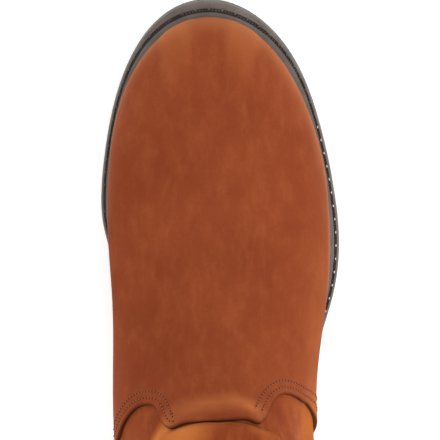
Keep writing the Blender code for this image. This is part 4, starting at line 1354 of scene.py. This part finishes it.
class BOOT_OT_collar(bpy.types.Operator):
    """Build the collar's binding, the piped side seams and the pull straps"""

    bl_idname = "boot.collar"
    bl_label = "Collar, seams and straps"

    def execute(self, context):
        looks = context.scene.boot_looks
        binding = leather_material(
            "binding_leather", looks.leather_deep, looks.leather_deep, looks.leather, 0.3, 0.08
        )
        self.make_binding(binding)
        for name, side in (("medial", 1), ("lateral", -1)):
            self.make_seam("side_seam_" + name, side, binding)
            self.make_strap("pull_strap_" + name, side)
        return {"FINISHED"}

    def make_binding(self, material):
        """A strip folded over the collar, and the stitches that hold it."""
        inside, thick, deep = WALL + GAP, 0.0010, 0.0080
        middle, radius = -inside / 2 + GAP / 2, inside / 2 + GAP / 2 + thick
        # The strip's section as drops below the collar's edge and offsets from the leather
        section = [(deep, GAP), (0.0, GAP), (-GAP, -inside / 2), (0.0, -inside), (deep, -inside)]
        section += [(deep, -inside - thick)]
        for turn in np.linspace(0, math.pi, 9):
            high = GAP + (thick + 0.0006) * math.sin(turn)
            section.append((-high, middle - radius * math.cos(turn)))
        section.append((deep, GAP + thick))
        around = around_line(220)
        points, faces = tube(np.stack([shaft_point(around, *spot) for spot in section], 1))
        nodes = ("collar_binding",)
        make_piece("collar_fold", points, faces, [material], "binding_leather", nodes)
        row = shaft_point(around, 0.0062, GAP + thick)
        make_stitches("collar_stitches", [np.concatenate((row, row[:1]))])

    def make_seam(self, name, side, material):
        """A piped seam down one side, and a row of stitches along both sides of it."""
        fall = form(0.5, float(LAST_RING))[2] - form(0.5, LAST_RING - 1.0)[2]
        stop = LAST_RING - (STRAP_OUTER_DROP + 0.001) / fall
        ring = np.linspace(SEAM_LINE[0][1] + 0.35, stop, 120)
        place = seam_line(ring)
        wide = np.linalg.norm(form(place + 0.001, ring) - form(place, ring), axis=-1) / 0.001
        loops = []
        for turn in np.linspace(0, math.pi, 9):
            around = on_side(place - math.cos(turn) * PIPING / wide, side)
            loops.append(skin(around, ring, 2 * GAP + PIPING * math.sin(turn)))
        points, faces = tube(np.stack(loops, 1), False)
        size, last = len(loops), len(points) - len(loops)
        faces += [list(range(size)), list(range(last, last + size))[::-1]]
        make_piece(name + "_cord", points, faces, [material], "piping_leather", (name,))
        rows = []
        for shift in (-0.0036, 0.0036):
            rows.append(skin(on_side(place + shift / wide, side), ring, 0.00002)[6:])
        make_stitches(name + "_stitches", rows)

    def make_strap(self, name, side):
        """A pull strap from the outside over the collar to the inside."""
        half = 0.0010
        over = 0.0010 + 2 * GAP
        out = 2 * GAP + half
        inn = -WALL - 2 * GAP - half
        wide = STRAP_LOOP_WIDTH / 2
        mid = (out + inn) / 2
        # The strap's way up the outside as drops and offsets; it comes down inside like it
        outer = [
            (STRAP_OUTER_DROP, out),
            (0.030, out),
            (0.0160, out),
            (0.0090, out + over),
            (0.0, out + over + 0.0006),
            (-STRAP_RISE * 0.38, mid + wide + half),
            (-STRAP_RISE * 0.72, mid + wide * 0.78 + half),
            (-STRAP_RISE * 0.93, mid + wide * 0.40),
        ]
        inner = [(drop, 2 * mid - offset) for drop, offset in outer[:0:-1]]
        path = np.array((*outer, (-STRAP_RISE, mid), *inner, (STRAP_INNER_DROP, inn)))
        far = np.concatenate(((0,), np.cumsum(np.linalg.norm(np.diff(path, axis=0), axis=1))))
        steps = np.linspace(0, far[-1], 90)
        run = np.stack([spline(far, path[:, i])(steps) for i in (0, 1)], -1)
        # The smooth run may not pass into the shaft
        low, rising = run[:, 0] > 0.010, steps < far[-1] / 2
        run[:, 1] = np.where(low & rising, np.maximum(run[:, 1], out), run[:, 1])
        run[:, 1] = np.where(low & ~rising, np.minimum(run[:, 1], inn), run[:, 1])
        tangent = unit(np.gradient(run, axis=0))
        normal = np.stack((tangent[:, 1], -tangent[:, 0]), -1)
        turn = 0.001
        per_turn = np.linalg.norm(form(0.5 + turn, LAST_RING) - form(0.5, LAST_RING)) / turn

        def across(share):
            """The position round the boot at a share of the strap's width."""
            return on_side(0.5 + share * STRAP_WIDTH / per_turn, side)

        sides = []
        for share in np.linspace(-0.5, 0.5, 15):
            # The strap's edges are thinner
            thin = half * (1.0 if abs(share) < 0.49 else 0.7)
            around = np.full(len(run), across(share))
            faces = run + normal * thin, run - normal * thin
            sides.append([shaft_point(around, face[:, 0], face[:, 1]) for face in faces])
        top, under = (np.stack([pair[i] for pair in sides]) for i in (0, 1))
        points, faces = shell(top, under, False)
        make_piece(name + "_loop", points, faces, [shaft_material()], "strap_leather", (name,))
        drop = np.linspace(0.012, STRAP_OUTER_DROP - 0.003, 60)
        rows = [
            shaft_point(np.full(60, across(share)), drop, out + half) for share in (-0.40, 0.40)
        ]
        make_stitches(name + "_stitches", rows)


class BOOT_OT_stitches(bpy.types.Operator):
    """Sew two rows of stitches round the vamp's cut edge"""

    bl_idname = "boot.stitches"
    bl_label = "Vamp stitches"

    def execute(self, context):
        sizes = context.scene.boot_sizes
        rows = []
        for inset in (sizes.stitch_inset, sizes.stitch_inset + sizes.stitch_rows):
            rows.append(edge_path(0.40, 0.835, inset))
            rows.append(edge_path(1.165, 1.60, inset))
        length, radius, hole = sizes.stitch_pitch * 0.72, 0.00024, 0.00034
        measures = (sizes.stitch_pitch, length, radius, hole)
        make_stitches("vamp_stitches", rows, measures)
        rows = [edge_path(-0.37, 0.37, inset, 400) for inset in (0.0024, 0.0048)]
        measures = (0.0025, length, radius, hole)
        make_stitches("counter_stitches", rows, measures)
        return {"FINISHED"}


class BOOT_OT_stage(bpy.types.Operator):
    """Set the floor, the lights and the camera"""

    bl_idname = "boot.stage"
    bl_label = "Floor, lights and camera"

    def execute(self, context):
        scene = context.scene
        scene.view_settings.view_transform = "Standard"
        mesh = bpy.data.meshes.new("floor")
        corners = [(-6.0, -6.0, 0), (6.0, -6.0, 0), (6.0, 6.0, 0), (-6.0, 6.0, 0)]
        mesh.from_pydata(corners, [], [(0, 1, 2, 3)])
        floor = bpy.data.objects.new("floor", mesh)
        scene.collection.objects.link(floor)
        paper = plain_material("floor_paper", (0.95, 0.95, 0.95), 0.9)
        shader = paper.node_tree.nodes["Principled BSDF"]
        shader.inputs["Emission Color"].default_value = (1.0, 1.0, 1.0, 1.0)
        shader.inputs["Emission Strength"].default_value = 0.15
        mesh.materials.append(paper)
        world_look = bpy.data.worlds.new("studio")
        world_look.use_nodes = True
        sky = world_look.node_tree.nodes["Background"]
        sky.inputs["Color"].default_value = (1.0, 1.0, 1.0, 1.0)
        sky.inputs["Strength"].default_value = 0.72
        scene.world = world_look
        # Each light: name, place, aim, width and power
        for name, place, aim, width, power in (
            ("lateral softbox", (-1.5, 0.25, 0.9), (0, 0, 0.05), 1.1, 20.0),
            ("medial softbox", (1.5, 0.05, 1.1), (0, 0, 0.05), 1.1, 9.0),
            ("shaft light", (-0.2, 0.9, 1.5), (0, 0.0, 0.1), 0.8, 7.0),
            ("top light", (0.1, -0.6, 1.9), (0, -0.05, 0.05), 1.4, 16.0),
        ):
            light = bpy.data.lights.new(name, "AREA")
            light.size = width
            light.energy = power
            lamp = bpy.data.objects.new(name, light)
            lamp.location = place
            lamp.rotation_euler = (Vector(aim) - Vector(place)).to_track_quat("-Z", "Y").to_euler()
            scene.collection.objects.link(lamp)
        self.place_camera(scene)
        return {"FINISHED"}

    def place_camera(self, scene):
        """From above the toe, tilted a little towards the heel, with the toe at the top."""
        lift = math.radians(CAMERA_LIFT)
        look = Vector((0.0, CAMERA_AIM[0] - SOLE_LENGTH / 2, CAMERA_AIM[1]))
        back = Vector((0.0, -math.cos(lift), math.sin(lift)))
        right = Vector((-1.0, 0.0, 0.0))
        camera = bpy.data.cameras.new("camera")
        camera.sensor_width = 36.0
        camera.lens = camera.sensor_width / 2 / math.tan(math.radians(CAMERA_ANGLE) / 2)
        camera.clip_start, camera.clip_end = 0.05, 20.0
        rig = bpy.data.objects.new("camera", camera)
        turn = Matrix((right, back.cross(right), back)).transposed()
        rig.matrix_world = Matrix.Translation(look + back * CAMERA_DISTANCE) @ turn.to_4x4()
        scene.collection.objects.link(rig)
        scene.camera = rig


OPERATORS = (
    BOOT_OT_vamp,
    BOOT_OT_shaft,
    BOOT_OT_welt,
    BOOT_OT_sole,
    BOOT_OT_collar,
    BOOT_OT_stitches,
    BOOT_OT_stage,
)


class BOOT_PT_panel(bpy.types.Panel):
    """The boot's pieces, sizes and colours"""

    bl_idname = "BOOT_PT_panel"
    bl_label = "Western work boot"
    bl_space_type = "VIEW_3D"
    bl_region_type = "UI"
    bl_category = "Boot"

    def draw(self, context):
        for operator in OPERATORS:
            self.layout.operator(operator.bl_idname)
        for group in (context.scene.boot_sizes, context.scene.boot_looks):
            for name in group.__annotations__:
                self.layout.prop(group, name)


CLASSES = (BootLooks, BootSizes, *OPERATORS, BOOT_PT_panel)


def register():
    for cls in CLASSES:
        bpy.utils.register_class(cls)
    bpy.types.Scene.boot_looks = bpy.props.PointerProperty(type=BootLooks)
    bpy.types.Scene.boot_sizes = bpy.props.PointerProperty(type=BootSizes)


def unregister():
    del bpy.types.Scene.boot_looks
    del bpy.types.Scene.boot_sizes
    for cls in reversed(CLASSES):
        bpy.utils.unregister_class(cls)


def main():
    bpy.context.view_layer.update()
    register()
    bpy.ops.boot.vamp()
    bpy.ops.boot.shaft()
    bpy.ops.boot.welt()
    bpy.ops.boot.sole()
    bpy.ops.boot.collar()
    bpy.ops.boot.stitches()
    bpy.ops.boot.stage()


if __name__ == "__main__":
    main()
